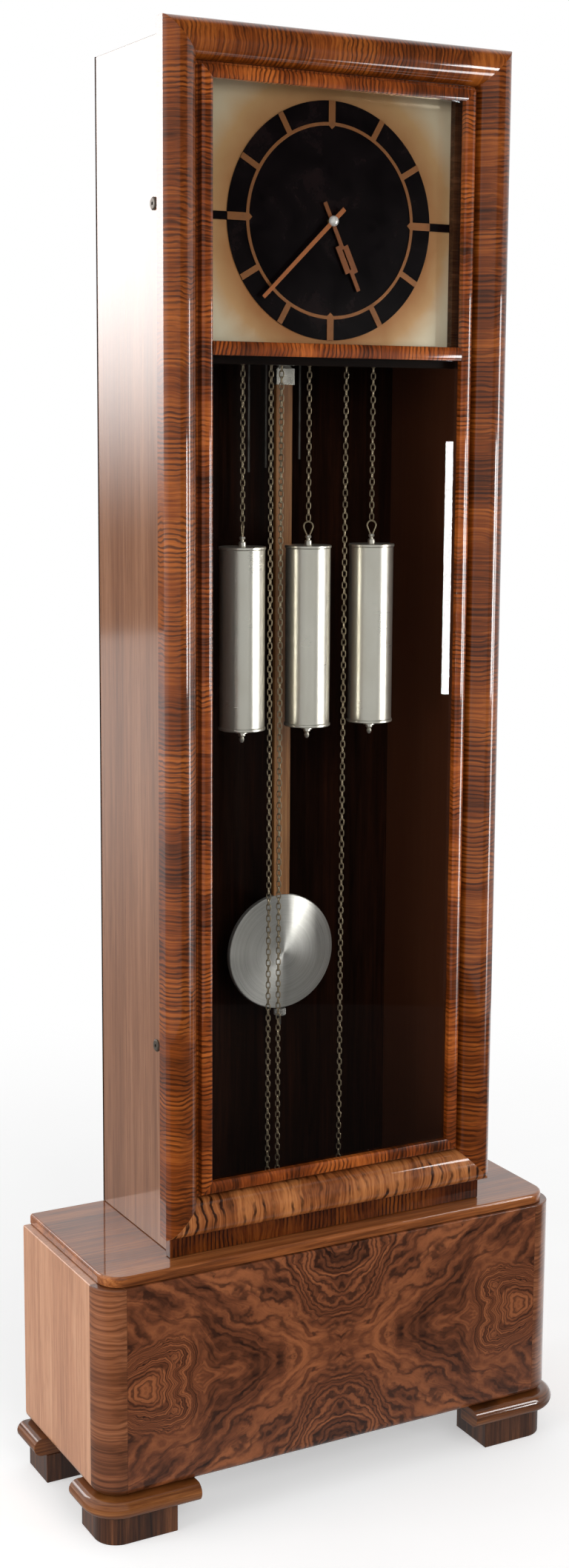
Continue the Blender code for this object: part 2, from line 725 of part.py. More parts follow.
door_half = DOOR_WIDTH / 2
door_middle = DOOR_Z + DOOR_HEIGHT / 2
mitred("door_moulding_top", DOOR_WIDTH, (0, 0, -1), (0, DOOR_BACK_Y, DOOR_TOP_Z))
mitred("door_moulding_bottom", DOOR_WIDTH, (0, 0, 1), (0, DOOR_BACK_Y, DOOR_Z))
mitred("door_moulding_left", DOOR_HEIGHT, (1, 0, 0), (-door_half, DOOR_BACK_Y, door_middle))
hinge_stile = mitred("door_moulding_right", DOOR_HEIGHT, (-1, 0, 0), (door_half, DOOR_BACK_Y, door_middle))
glazing_moulding()
sight_half = door_half - GLASS_SIGHT - GAP
glass_half = door_half - GLASS_EDGE - GAP
bar = prism(bar_profile(BAR_Z), -sight_half, sight_half, "X")
add("door_crossbar", bar, WALNUT, door_axis)
glass_front = DOOR_BACK_Y - BEAD_LIP + GAP
fin_clear = BAR_FIN / 2 + GAP
panes = {"door_glass_upper": (BAR_Z + fin_clear, DOOR_TOP_Z - GLASS_EDGE - GAP),
         "door_glass_lower": (DOOR_Z + GLASS_EDGE + GAP, BAR_Z - fin_clear)}
for pane, (low, high) in panes.items():
    sheet = box((-glass_half, glass_front, low), (glass_half, glass_front + GLASS_THICK, high))
    add(pane, sheet, GLASS, door_axis)


# Door hinge: a long hinge up the right edge, with knuckles that take turns on one pin

hinge_low = DOOR_Z + HINGE_END
hinge_high = CASE_TOP_Z - HINGE_END
knuckle = (hinge_high - hinge_low) / HINGE_KNUCKLES


def knuckle_outline(leaf_low, leaf_high):
    """A hinge knuckle with the tongue that joins it to its leaf, seen from above."""
    turns = 14
    start = math.asin((leaf_high - HINGE_Y) / HINGE_RADIUS)
    stop = math.asin((leaf_low - HINGE_Y) / HINGE_RADIUS)
    points = []
    for k in range(turns + 1):
        a = math.pi - start - (2 * math.pi - (start - stop)) * k / turns
        points.append((HINGE_X + HINGE_RADIUS * math.cos(a), HINGE_Y + HINGE_RADIUS * math.sin(a)))
    tongue = HINGE_X - HINGE_RADIUS - HINGE_LEAF / 4
    return points + [(tongue, leaf_low), (tongue, leaf_high)]


def hinge_leaf(name, leaf_low, leaf_high, first, parent):
    """A leaf with every second knuckle."""
    leaf_end = HINGE_X - HINGE_RADIUS - RUNNING
    leaf = box((leaf_end - HINGE_LEAF, leaf_low, hinge_low), (leaf_end, leaf_high, hinge_high))
    made = add(name, leaf, BRASS, parent)
    knuckles = bmesh.new()
    for k in range(first, HINGE_KNUCKLES, 2):
        low = hinge_low + knuckle * k + (RUNNING if k else 0.0)
        high = hinge_low + knuckle * (k + 1) - (RUNNING if k < HINGE_KNUCKLES - 1 else 0.0)
        prism(knuckle_outline(leaf_low, leaf_high), low, high, "Z", knuckles)
    combine(made, knuckles, "UNION")
    return made


leaf_space = (DOOR_GAP - 2 * HINGE_LEAF_THICK) / 3
case_leaf_y = CASE_FRONT_Y - leaf_space
case_leaf = hinge_leaf("hinge_case_leaf", case_leaf_y - HINGE_LEAF_THICK, case_leaf_y, 0, None)
door_leaf_y = DOOR_BACK_Y + leaf_space
door_leaf = hinge_leaf("hinge_door_leaf", door_leaf_y, door_leaf_y + HINGE_LEAF_THICK, 1, door_axis)
pin_low = hinge_low + knuckle / 2
pin_high = hinge_high - knuckle / 2
combine(case_leaf, cylinder(HINGE_PIN, pin_low, pin_high, (HINGE_X, HINGE_Y, 0.0), "Z", 10), "UNION")
bore = cylinder(HINGE_PIN + GAP, hinge_low - knuckle, hinge_high + knuckle, (HINGE_X, HINGE_Y, 0.0), "Z", 10)
combine(door_leaf, bore, "DIFFERENCE")
groove = HINGE_RADIUS + RUNNING
groove_low = (HINGE_X - groove, HINGE_Y - groove, hinge_low - RUNNING)
groove_high = (HINGE_X + groove, HINGE_Y + groove, hinge_high + RUNNING)
combine(hinge_stile, box(groove_low, groove_high), "DIFFERENCE")


# Latches: a key socket in the case side turns a hook over a pin on the door's back

def latch(name, height):
    """Rosette with a square socket, spindle through the side and a notched arm, standing free of the pin."""
    axis = axis_empty(f"{name}_axis", (-CASE_WIDTH / 2, LATCH_Y, height))
    outer = -CASE_WIDTH / 2 - GAP
    arm_far = -CASE_INNER_X + LATCH_ARM_INSIDE + LATCH_ARM_THICK
    face = outer - LATCH_ROSETTE_THICK
    spindle_end = arm_far - LATCH_ARM_THICK / 2
    profile = [(0, face), (LATCH_ROSETTE * 0.8, face), (LATCH_ROSETTE, (face + outer) / 2),
               (LATCH_ROSETTE, outer), (LATCH_SPINDLE, outer), (LATCH_SPINDLE, spindle_end), (0, spindle_end)]
    made = add(name, turned(profile, (0, LATCH_Y, height), "X", 20), NICKEL, axis)
    half = LATCH_ARM_WIDTH / 2
    notch = CATCH_PIN + LATCH_PLAY
    lead = LATCH_Y - half
    notch_high = height + LATCH_REACH + notch
    notch_low = height + LATCH_REACH - notch
    tip = notch_high + half / 2
    arm = [(LATCH_Y + half, height - half), (LATCH_Y + half, tip), (lead, tip), (lead, notch_high),
           (LATCH_Y + notch, notch_high), (LATCH_Y + notch, notch_low), (lead, notch_low),
           (lead, height - half)]
    combine(made, prism(arm, arm_far - LATCH_ARM_THICK, arm_far, "X"), "UNION")
    reach = LATCH_SOCKET / 2
    socket_low = (outer - 2 * LATCH_ROSETTE_THICK, LATCH_Y - reach, height - reach)
    combine(made, box(socket_low, (outer + CASE_WALL / 2, LATCH_Y + reach, height + reach)), "DIFFERENCE")


def catch(name, height):
    """A plate on the door's back with a lug and a pin that the hook takes hold of."""
    back = DOOR_BACK_Y + GAP
    pin_y = LATCH_Y - LATCH_REACH
    far = -door_half + GLASS_EDGE - RUNNING
    near = -door_half + MOULD_WIDTH + 2 * RUNNING
    half = CATCH_HEIGHT / 2
    base = box((near, back, height - half), (far, back + CATCH_PLATE, height + half))
    made = add(name, base, BRASS, door_axis)
    lug_low = (near, back + CATCH_PLATE / 2, height - half / 2)
    combine(made, box(lug_low, (near + CATCH_LUG, pin_y + 2 * CATCH_PIN, height + half / 2)), "UNION")
    pin_end = -CASE_INNER_X + LATCH_ARM_INSIDE - CATCH_PIN
    combine(made, cylinder(CATCH_PIN, pin_end, near + CATCH_LUG / 2, (0, pin_y, height), "X", 12), "UNION")


for latch_name, height in LATCH_HEIGHTS.items():
    latch(f"latch_{latch_name}", height)
    catch(f"catch_{latch_name}", height)


# Dial: a surround board, a bright plate, a black disc with side stubs and a ring with twelve bars

surround_low = (-case_fit, SURROUND_FRONT_Y, SURROUND_BOTTOM)
surround_high = (case_fit, SURROUND_FRONT_Y + SURROUND_THICK, back_high)
surround = add("dial_surround", box(surround_low, surround_high), INSIDE, smooth=False)
opening_low = (-DIAL_OPENING_HALF, SURROUND_FRONT_Y - SURROUND_THICK, DIAL_OPENING_BOTTOM)
opening_high = (DIAL_OPENING_HALF, SURROUND_FRONT_Y + 2 * SURROUND_THICK, DIAL_OPENING_TOP)
combine(surround, box(opening_low, opening_high), "DIFFERENCE")
notch_x = -door_half + MOULD_WIDTH + 3 * CATCH_LUG
notch_low = (-CASE_WIDTH / 2, SURROUND_FRONT_Y - SURROUND_THICK, LATCH_HEIGHTS["upper"] - CATCH_HEIGHT)
notch_high = (notch_x, SURROUND_FRONT_Y + 2 * SURROUND_THICK, LATCH_HEIGHTS["upper"] + CATCH_HEIGHT)
combine(surround, box(notch_low, notch_high), "DIFFERENCE")

plate_half = DIAL_OPENING_HALF + PLATE_LAP - GAP
plate_low = (-plate_half, PLATE_Y, DIAL_OPENING_BOTTOM - PLATE_LAP / 2)
plate_high = (plate_half, PLATE_Y + PLATE_THICK, DIAL_OPENING_TOP + PLATE_LAP)
dial_plate = add("dial_plate", box(plate_low, plate_high), CHAMPAGNE, smooth=False)
pipe_hole = PIPE_RADIUS + RUNNING
dial_place = (0.0, 0.0, DIAL_CENTRE)
hole_span = CASE_DEPTH / 2
combine(dial_plate, cylinder(pipe_hole, -hole_span, hole_span, dial_place, "Y", 20), "DIFFERENCE")


def disc_outline(steps=72):
    """The black disc with a stub out to each side of the dial opening."""
    half = STUB_HEIGHT / 2
    reach = DIAL_OPENING_HALF - GAP
    lean = math.asin(half / DISC_RADIUS)
    points = []
    for side in (0.0, math.pi):
        points.append((reach * math.cos(side), -half * math.cos(side)))
        points.append((reach * math.cos(side), half * math.cos(side)))
        for k in range(steps // 2 + 1):
            a = side + lean + (math.pi - 2 * lean) * k / (steps // 2)
            points.append((DISC_RADIUS * math.cos(a), DISC_RADIUS * math.sin(a)))
    return points


def chapter_outline():
    """The ring's outer edge with a bar at each hour."""
    outer = RING_RADIUS + RING_WIDTH / 2
    points = []
    for hour in range(12):
        middle = math.radians(30.0 * hour)
        half = (BAR_NARROW if hour % 3 else BAR_WIDE) / 2
        for edge, reach in ((-1, outer), (-1, DISC_RADIUS), (1, DISC_RADIUS), (1, outer)):
            lean = math.asin(half / reach) * edge
            points.append((reach * math.cos(middle + lean), reach * math.sin(middle + lean)))
        for k in range(1, 5):
            a = middle + math.radians(30.0 * k / 5)
            points.append((outer * math.cos(a), outer * math.sin(a)))
    return points


def chapter_inside():
    """The ring's inner edge, with a small point under each quarter bar."""
    inner = RING_RADIUS - RING_WIDTH / 2
    points = []
    for k in range(60):
        a = math.radians(6.0 * k)
        reach = inner - BAR_POINT if k % 15 == 0 else inner
        points.append((reach * math.cos(a), reach * math.sin(a)))
    return points


add("dial_disc", plate([disc_outline(), circle(pipe_hole, 20)], DISC_THICK, DISC_Y), BLACK)
add("dial_ring", plate([chapter_outline(), chapter_inside()], CHAPTER_THICK, CHAPTER_Y), COPPER)


# Hands: the hour hand on a pipe, the minute hand on the arbor inside it, with its nut

hand_axis = axis_empty("hand_axis", (0.0, MINUTE_Y, DIAL_CENTRE))


def hour_outline():
    """Two side-by-side blades set a little past one another on a slim stem."""
    stem = HOUR_STEM / 2
    start = HOUR_LENGTH * 0.33
    stop = HOUR_LENGTH * 0.72
    shift = HOUR_LENGTH * 0.04
    right = [(stem, -HOUR_TAIL), (stem, start), (HOUR_BLADE, start), (HOUR_BLADE, stop), (stem, stop)]
    left = [(-stem, stop + shift), (-HOUR_BLADE, stop + shift), (-HOUR_BLADE, start + shift),
            (-stem, start + shift)]
    return [(-stem, -HOUR_TAIL), *right, (stem, HOUR_LENGTH), (-stem, HOUR_LENGTH), *left]


def hour_slit():
    half = HOUR_SLIT / 2
    low = HOUR_LENGTH * 0.40
    high = HOUR_LENGTH * 0.69
    return [(-half, low), (half, low), (half, high), (-half, high)]


def minute_outline():
    half = MINUTE_WIDTH / 2
    tip = half * 0.8
    return [(-half, -MINUTE_TAIL), (half, -MINUTE_TAIL), (tip, MINUTE_LENGTH), (-tip, MINUTE_LENGTH)]


pipe_back = MOVEMENT_Y - GAP
arbor_hole = ARBOR_RADIUS + GAP
hour_bm = plate([hour_outline(), hour_slit()], HAND_THICK, HOUR_Y, HOUR_TURN)
hour_hand = add("hour_hand", hour_bm, COPPER, hand_axis, smooth=False)
pipe = cylinder(PIPE_RADIUS, HOUR_Y - GAP, pipe_back, dial_place, "Y", 20)
combine(hour_hand, pipe, "UNION")
arbor_way = cylinder(arbor_hole, -hole_span - HAND_SPACE, hole_span, dial_place, "Y", 16)
combine(hour_hand, arbor_way, "DIFFERENCE")
minute_bm = plate([minute_outline()], HAND_THICK, MINUTE_Y, MINUTE_TURN)
minute_hand = add("minute_hand", minute_bm, COPPER, hand_axis, smooth=False)
dome = [(0, MINUTE_Y - NUT_HEIGHT)]
for k in range(1, 6):
    a = math.radians(90.0 * k / 5)
    dome.append((NUT_RADIUS * math.sin(a), MINUTE_Y - NUT_HEIGHT * math.cos(a)))
dome += [(NUT_RADIUS, MINUTE_Y + HAND_THICK / 2), (ARBOR_RADIUS, MINUTE_Y + HAND_THICK / 2),
         (ARBOR_RADIUS, pipe_back), (0, pipe_back)]
combine(minute_hand, turned(dome, dial_place, "Y", 20), "UNION")


# Movement: two plates on four pillars, with the chain wheels and the pendulum's stud, on a seat board

def chain_wheel(x, bm):
    """A grooved wheel on an arbor between the plates; the two strands of a chain leave it on either side."""
    groove = CHAIN_SPREAD / 2 - CHAIN_RADIUS - GAP
    rim = groove + WHEEL_RIM
    inner = CHAIN_RADIUS + RUNNING
    outer = inner + WHEEL_FLANGE
    front = MOVEMENT_Y + MOVEMENT_PLATE / 2
    back = MOVEMENT_BACK_Y - MOVEMENT_PLATE / 2
    y = WEIGHT_Y
    profile = [(0, front), (AXLE_RADIUS, front), (AXLE_RADIUS, y - outer), (rim, y - outer), (rim, y - inner),
               (groove, y - inner), (groove, y + inner), (rim, y + inner), (rim, y + outer),
               (AXLE_RADIUS, y + outer), (AXLE_RADIUS, back), (0, back)]
    turned(profile, (x, 0, CHAIN_AXLE), "Y", 24, bm)


def movement():
    half = MOVEMENT_WIDTH / 2
    top = MOVEMENT_Z + MOVEMENT_HEIGHT
    front = box((-half, MOVEMENT_Y, MOVEMENT_Z), (half, MOVEMENT_Y + MOVEMENT_PLATE, top))
    made = add("movement", front, BRASS, smooth=False)
    back_low = (-half, MOVEMENT_BACK_Y - MOVEMENT_PLATE, MOVEMENT_Z)
    combine(made, box(back_low, (half, MOVEMENT_BACK_Y, top)), "UNION")
    pillars = bmesh.new()
    for x in (-half + PILLAR_MARGIN, half - PILLAR_MARGIN):
        for z in (MOVEMENT_Z + PILLAR_MARGIN, top - PILLAR_MARGIN):
            span = (MOVEMENT_Y + MOVEMENT_PLATE / 2, MOVEMENT_BACK_Y - MOVEMENT_PLATE / 2)
            cylinder(PILLAR_RADIUS, *span, (x, 0, z), "Y", 12, pillars)
    combine(made, pillars, "UNION")
    wheels = bmesh.new()
    for place, x in WEIGHT_PLACES.items():
        chain_wheel(x + TAIL_SIDES[place] * CHAIN_SPREAD / 2, wheels)
    combine(made, wheels, "UNION")
    stud_end = PENDULUM_Y + FITTING_THICK / 2
    stud = cylinder(STUD_RADIUS, MOVEMENT_BACK_Y - MOVEMENT_PLATE / 2, stud_end, (0, 0, STUD_HEIGHT), "Y", 12)
    combine(made, stud, "UNION")


def seat_board():
    low = (-case_fit, SEAT_FRONT_Y, SEAT_BOTTOM)
    high = (case_fit, SEAT_FRONT_Y + SEAT_DEPTH, SEAT_BOTTOM + SEAT_THICK)
    made = add("seat_board", box(low, high), INSIDE, smooth=False)
    slots = bmesh.new()
    for place, x in WEIGHT_PLACES.items():
        ends = sorted((x, x + TAIL_SIDES[place] * CHAIN_SPREAD))
        low = (ends[0] - SEAT_SLOT / 2, WEIGHT_Y - SEAT_SLOT / 2, SEAT_BOTTOM - SEAT_THICK)
        box(low, (ends[1] + SEAT_SLOT / 2, WEIGHT_Y + SEAT_SLOT / 2, SEAT_BOTTOM + 2 * SEAT_THICK), slots)
    combine(made, slots, "DIFFERENCE")


movement()
seat_board()


# Chime rods: a block on the back board and tuned rods that hang from it

def chime():
    half = CHIME_ROD_PITCH * CHIME_ROD_COUNT / 2
    front = BACK_PANEL_Y - GAP - CHIME_BLOCK_DEPTH
    low = (CHIME_CENTRE_X - half, front, CHIME_BLOCK_BOTTOM)
    high = (CHIME_CENTRE_X + half, BACK_PANEL_Y - GAP, CHIME_BLOCK_BOTTOM + CHIME_BLOCK_HEIGHT)
    made = add("chime_rods", box(low, high), NICKEL, smooth=False)
    rods = bmesh.new()
    for k in range(CHIME_ROD_COUNT):
        x = CHIME_CENTRE_X + CHIME_ROD_PITCH * (k - (CHIME_ROD_COUNT - 1) / 2)
        bottom = CHIME_BLOCK_BOTTOM - CHIME_ROD_LENGTH + CHIME_ROD_STEP * k
        place = (x, front + CHIME_BLOCK_DEPTH / 3, 0.0)
        cylinder(CHIME_ROD_RADIUS, bottom, CHIME_BLOCK_BOTTOM + CHIME_BLOCK_HEIGHT / 2, place, "Z", 8, rods)
    combine(made, rods, "UNION")


chime()


# Weights with their chains: a strand to each weight and a free tail with a drop on its end

def weight(place, x):
    axis = axis_empty(f"weight_{place}_axis", (x, WEIGHT_Y, WEIGHT_BOTTOM))
    top = WEIGHT_BOTTOM + WEIGHT_LENGTH
    lip = WEIGHT_RADIUS + WEIGHT_LIP
    lip_end = WEIGHT_LIP_HEIGHT + WEIGHT_LIP
    low = WEIGHT_BOTTOM
    collar = KNOB_RADIUS * 1.6
    stem = HOOK_WIRE * 1.5
    profile = [(0, low - KNOB_HEIGHT), (KNOB_RADIUS * 0.4, low - KNOB_HEIGHT),
               (KNOB_RADIUS, low - KNOB_HEIGHT * 0.35), (collar, low - KNOB_HEIGHT * 0.2), (collar, low),
               (lip, low), (lip, low + WEIGHT_LIP_HEIGHT),
               (WEIGHT_RADIUS, low + lip_end), (WEIGHT_RADIUS, top - lip_end), (lip, top - WEIGHT_LIP_HEIGHT),
               (lip, top), (stem, top), (stem, top + HOOK_STEM), (0, top + HOOK_STEM)]
    made = add(f"weight_{place}", turned(profile, (x, WEIGHT_Y, 0), "Z", 32), NICKEL, axis)
    eye = top + HOOK_STEM + HOOK_RADIUS - HOOK_WIRE / 2
    combine(made, torus(HOOK_RADIUS, HOOK_WIRE, (x, WEIGHT_Y, eye)), "UNION")
    return eye + HOOK_RADIUS + HOOK_WIRE + GAP


def strand(name, x, low):
    add(name, cylinder(CHAIN_RADIUS, low, CHAIN_AXLE, (x, WEIGHT_Y, 0), "Z", 8), NICKEL)


def drop_profile():
    """The small drop on a chain's free end: a neck that widens to a round foot."""
    top = TAIL_BOTTOM - GAP
    profile = [(0, top), (TAIL_END_RADIUS * 0.4, top), (TAIL_END_RADIUS * 0.5, top - TAIL_END_LENGTH * 0.35)]
    for k in range(5):
        a = math.radians(20.0 * k)
        profile.append((TAIL_END_RADIUS * math.cos(a), top - TAIL_END_LENGTH * (0.75 + 0.25 * math.sin(a))))
    return profile + [(0, top - TAIL_END_LENGTH)]


for place, x in WEIGHT_PLACES.items():
    strand(f"chain_{place}", x, weight(place, x))
    tail_x = x + TAIL_SIDES[place] * CHAIN_SPREAD
    tail_axis = axis_empty(f"tail_{place}_axis", (tail_x, WEIGHT_Y, TAIL_BOTTOM))
    add(f"tail_end_{place}", turned(drop_profile(), (tail_x, WEIGHT_Y, 0), "Z", 16), NICKEL, tail_axis)
    strand(f"tail_{place}", tail_x, TAIL_BOTTOM)


# Pendulum: hanger and top fitting, a flat wooden rod, a lens-shaped bob and a rating nut

pendulum_axis = axis_empty("pendulum_axis", (0.0, PENDULUM_Y, STUD_HEIGHT))


def fitting():
    half_thick = FITTING_THICK / 2
    bottom = FITTING_TOP - FITTING_GRIP
    low = (-FITTING_WIDTH / 2, PENDULUM_Y - half_thick, bottom)
    high = (FITTING_WIDTH / 2, PENDULUM_Y + half_thick, FITTING_TOP)
    made = add("pendulum_fitting", box(low, high), NICKEL, pendulum_axis, smooth=False)
    soften(made, FITTING_EDGE)
    slot_half = ROD_WIDTH / 2 + GAP
    slot_low = (-slot_half, PENDULUM_Y - ROD_THICK / 2 - GAP, bottom - FITTING_GRIP)
    combine(made, box(slot_low, (slot_half, PENDULUM_Y + ROD_THICK / 2 + GAP, ROD_TOP + GAP)), "DIFFERENCE")
    hanger_half = HANGER_WIDTH / 2
    thick = HANGER_THICK / 2
    hanger_low = (-hanger_half, PENDULUM_Y - thick, FITTING_TOP - FITTING_GRIP / 6)
    combine(made, box(hanger_low, (hanger_half, PENDULUM_Y + thick, STUD_HEIGHT)), "UNION")
    span = (PENDULUM_Y - 2 * thick, PENDULUM_Y + 2 * thick)
    combine(made, cylinder(EYE_RADIUS, *span, (0, 0, STUD_HEIGHT), "Y", 20), "UNION")
    bore_span = (PENDULUM_Y - FITTING_THICK, PENDULUM_Y + FITTING_THICK)
    combine(made, cylinder(STUD_RADIUS + GAP, *bore_span, (0, 0, STUD_HEIGHT), "Y", 12), "DIFFERENCE")


def rod():
    rod_low = BOB_HEIGHT - BOB_RADIUS * 0.9
    low = (-ROD_WIDTH / 2, PENDULUM_Y - ROD_THICK / 2, rod_low)
    high = (ROD_WIDTH / 2, PENDULUM_Y + ROD_THICK / 2, ROD_TOP)
    made = add("pendulum_rod", box(low, high), ROD_WOOD, pendulum_axis, smooth=False)
    span = (rod_low - SCREW_LENGTH, rod_low + SCREW_LENGTH)
    combine(made, cylinder(SCREW_RADIUS, *span, (0, PENDULUM_Y, 0), "Z", 10), "UNION")


def bob():
    """A turned lens with a channel in its back for the rod."""
    profile = [(0, PENDULUM_Y - BOB_THICK / 2)]
    for k in range(1, 7):
        r = BOB_RADIUS * k / 6
        swell = (BOB_THICK - BOB_RIM) / 2 * (1 - (r / BOB_RADIUS) ** 2)
        profile.append((r, PENDULUM_Y - BOB_RIM / 2 - swell))
    for k in range(6, 0, -1):
        r = BOB_RADIUS * k / 6
        swell = (BOB_THICK - BOB_RIM) / 2 * (1 - (r / BOB_RADIUS) ** 2)
        profile.append((r, PENDULUM_Y + BOB_RIM / 2 + swell))
    profile.append((0, PENDULUM_Y + BOB_THICK / 2))
    made = add("pendulum_bob", turned(profile, (0, 0, BOB_HEIGHT), "Y", 56), BRUSHED, pendulum_axis)
    half = ROD_WIDTH / 2 + GAP
    low = (-half, PENDULUM_Y - ROD_THICK / 2 - GAP, BOB_HEIGHT - 2 * BOB_RADIUS)
    combine(made, box(low, (half, PENDULUM_Y + BOB_THICK, BOB_HEIGHT + 2 * BOB_RADIUS)), "DIFFERENCE")


def rating_nut():
    top = BOB_HEIGHT - BOB_RADIUS - GAP
    low = top - RATING_HEIGHT
    place = (0, PENDULUM_Y, 0)
    made = add("rating_nut", cylinder(RATING_RADIUS, low, top, place, "Z", 24), NICKEL, pendulum_axis)
    span = (low - RATING_HEIGHT, top + RATING_HEIGHT)
    combine(made, cylinder(SCREW_RADIUS + GAP, *span, place, "Z", 10), "DIFFERENCE")


fitting()
rod()
bob()
rating_nut()
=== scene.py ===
import math

import bmesh
import bpy
from mathutils import Matrix, Vector


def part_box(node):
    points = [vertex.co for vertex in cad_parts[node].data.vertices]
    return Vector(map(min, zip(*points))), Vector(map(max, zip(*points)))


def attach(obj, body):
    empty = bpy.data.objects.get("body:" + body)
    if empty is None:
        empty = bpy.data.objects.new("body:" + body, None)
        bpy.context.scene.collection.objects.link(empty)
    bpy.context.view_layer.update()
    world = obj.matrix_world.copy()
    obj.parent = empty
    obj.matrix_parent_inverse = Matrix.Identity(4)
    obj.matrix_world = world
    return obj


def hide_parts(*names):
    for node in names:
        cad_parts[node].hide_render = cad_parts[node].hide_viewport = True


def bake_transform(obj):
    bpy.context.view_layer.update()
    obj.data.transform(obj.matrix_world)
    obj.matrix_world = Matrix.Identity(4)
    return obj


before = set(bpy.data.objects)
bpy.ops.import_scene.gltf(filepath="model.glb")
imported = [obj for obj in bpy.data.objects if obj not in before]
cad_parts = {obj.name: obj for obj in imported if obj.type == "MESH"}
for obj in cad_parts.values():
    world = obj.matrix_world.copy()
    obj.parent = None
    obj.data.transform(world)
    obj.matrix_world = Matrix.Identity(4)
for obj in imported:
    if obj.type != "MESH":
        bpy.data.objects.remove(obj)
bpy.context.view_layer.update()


# Foot blocks. Four solid walnut blocks stand the clock off the floor, stained dark, with their grain upright.
# The front two are sawn to the round corner of the base above them. All are glued up under the rails.

class Figure:
    """How strong a mark is from place to place; sums and products of figures become nodes."""

    def __init__(self, finish, socket):
        self.finish = finish
        self.socket = socket

    def by(self, operation, other=0.0):
        node = self.finish.node("Math", {0: self, 1: other}, operation=operation)
        return Figure(self.finish, node.outputs[0])

    def __add__(self, other):
        return self.by("ADD", other)

    def __sub__(self, other):
        return self.by("SUBTRACT", other)

    def __mul__(self, other):
        return self.by("MULTIPLY", other)

    def flipped(self):
        """What is left of one whole."""
        return self * -1.0 + 1.0

    def size(self):
        return self.by("ABSOLUTE")

    def between(self, low, high):
        """Nothing below low, one above high, and a soft change from one to the other."""
        feeds = {"Value": self, "From Min": low, "From Max": high}
        node = self.finish.node("MapRange", feeds, interpolation_type="SMOOTHSTEP")
        return Figure(self.finish, node.outputs["Result"])


class Finish:
    """A surface finish laid up in one material; x, y and z are metres in the clock's own frame."""

    def __init__(self, name, holder=None, axes="Object", **settings):
        self.material = holder or bpy.data.materials.new(name)
        self.material.use_nodes = True
        self.tree = self.material.node_tree
        self.shader = self.tree.nodes.get("Principled BSDF")
        for socket, value in settings.items():
            self.feed(self.shader.inputs[socket.replace("_", " ")], value)
        place = self.node("SeparateXYZ", {0: self.node("TexCoord").outputs[axes]})
        self.x, self.y, self.z = [Figure(self, out) for out in place.outputs]

    def feed(self, socket, value):
        if isinstance(value, Figure):
            value = value.socket
        if isinstance(value, bpy.types.NodeSocket):
            self.tree.links.new(value, socket)
        elif isinstance(value, tuple) and socket.type == "RGBA":
            socket.default_value = (*value, 1.0)
        else:
            socket.default_value = value

    def node(self, kind, feeds=None, **settings):
        made = self.tree.nodes.new("ShaderNode" + kind)
        for key, value in settings.items():
            setattr(made, key, value)
        for socket, value in (feeds or {}).items():
            self.feed(made.inputs[socket], value)
        return made

    def marks(self, x, y, z, detail=4.0, rough=0.55, bend=0.0):
        """Soft uneven marks about one unit across; scaling x, y and z draws them out into lines."""
        place = self.node("CombineXYZ", {0: x, 1: y, 2: z}).outputs[0]
        feeds = {"Vector": place, "Scale": 1.0, "Detail": detail, "Roughness": rough, "Distortion": bend}
        return Figure(self, self.node("TexNoise", feeds).outputs["Fac"])

    def spread(self, *counts, **settings):
        """Marks spread over a piece, so many to the metre along x, y and z."""
        places = [along * count for along, count in zip((self.x, self.y, self.z), counts)]
        return self.marks(*places, **settings)

    def tones(self, figure, *stops):
        """Colours laid along a figure, from its weakest place to its strongest."""
        ramp = self.node("ValToRGB", {"Fac": figure})
        held = ramp.color_ramp.elements
        held[0].position, held[1].position = stops[0][0], stops[-1][0]
        for place, _ in stops[1:-1]:
            held.new(place)
        for mark, (_, colour) in zip(held, stops):
            mark.color = (*colour, 1.0)
        return ramp.outputs["Color"]

    def over(self, share, under, top):
        """The top colour laid over the under one by its share."""
        return self.node("Mix", {0: share, 6: under, 7: top}, data_type="RGBA").outputs[2]

    def edges(self, reach):
        """Strong where a piece turns a corner, nothing out on its faces."""
        round_off = self.node("Bevel", {"Radius": reach}, samples=4)
        face = self.node("NewGeometry")
        feeds = {0: round_off.outputs["Normal"], 1: face.outputs["Normal"]}
        turn = self.node("VectorMath", feeds, operation="DOT_PRODUCT")
        return Figure(self, turn.outputs["Value"]).flipped().between(0.01, 0.22)

    def lay(self, colour, rough, relief=None, depth=0.0):
        """The finish done: its colour, how rough it is, and the relief that the light catches."""
        self.feed(self.shader.inputs["Base Color"], colour)
        self.feed(self.shader.inputs["Roughness"], rough)
        if relief:
            bump = self.node("Bump", {"Height": relief, "Distance": depth, "Strength": 1.0})
            self.feed(self.shader.inputs["Normal"], bump.outputs["Normal"])
        return self.material

    def show(self, shader):
        """Another shader in the place of the plain one."""
        self.feed(self.tree.nodes["Material Output"].inputs["Surface"], shader)


def tone(*channels):
    """A colour as it looks, 0 to 255 a channel, as the share of light that it sends back."""
    return tuple(((c / 255 + 0.055) / 1.055) ** 2.4 if c > 10 else c / 3294.6 for c in channels)


def lacquered(name, rough, polish=1.0):
    """The start of a wood finish: a clear coat over a face that hardly shines by itself."""
    shine = 0.1 * polish
    return Finish(name, Coat_Weight=polish, Coat_Roughness=rough, Coat_IOR=1.5, Specular_IOR_Level=shine)


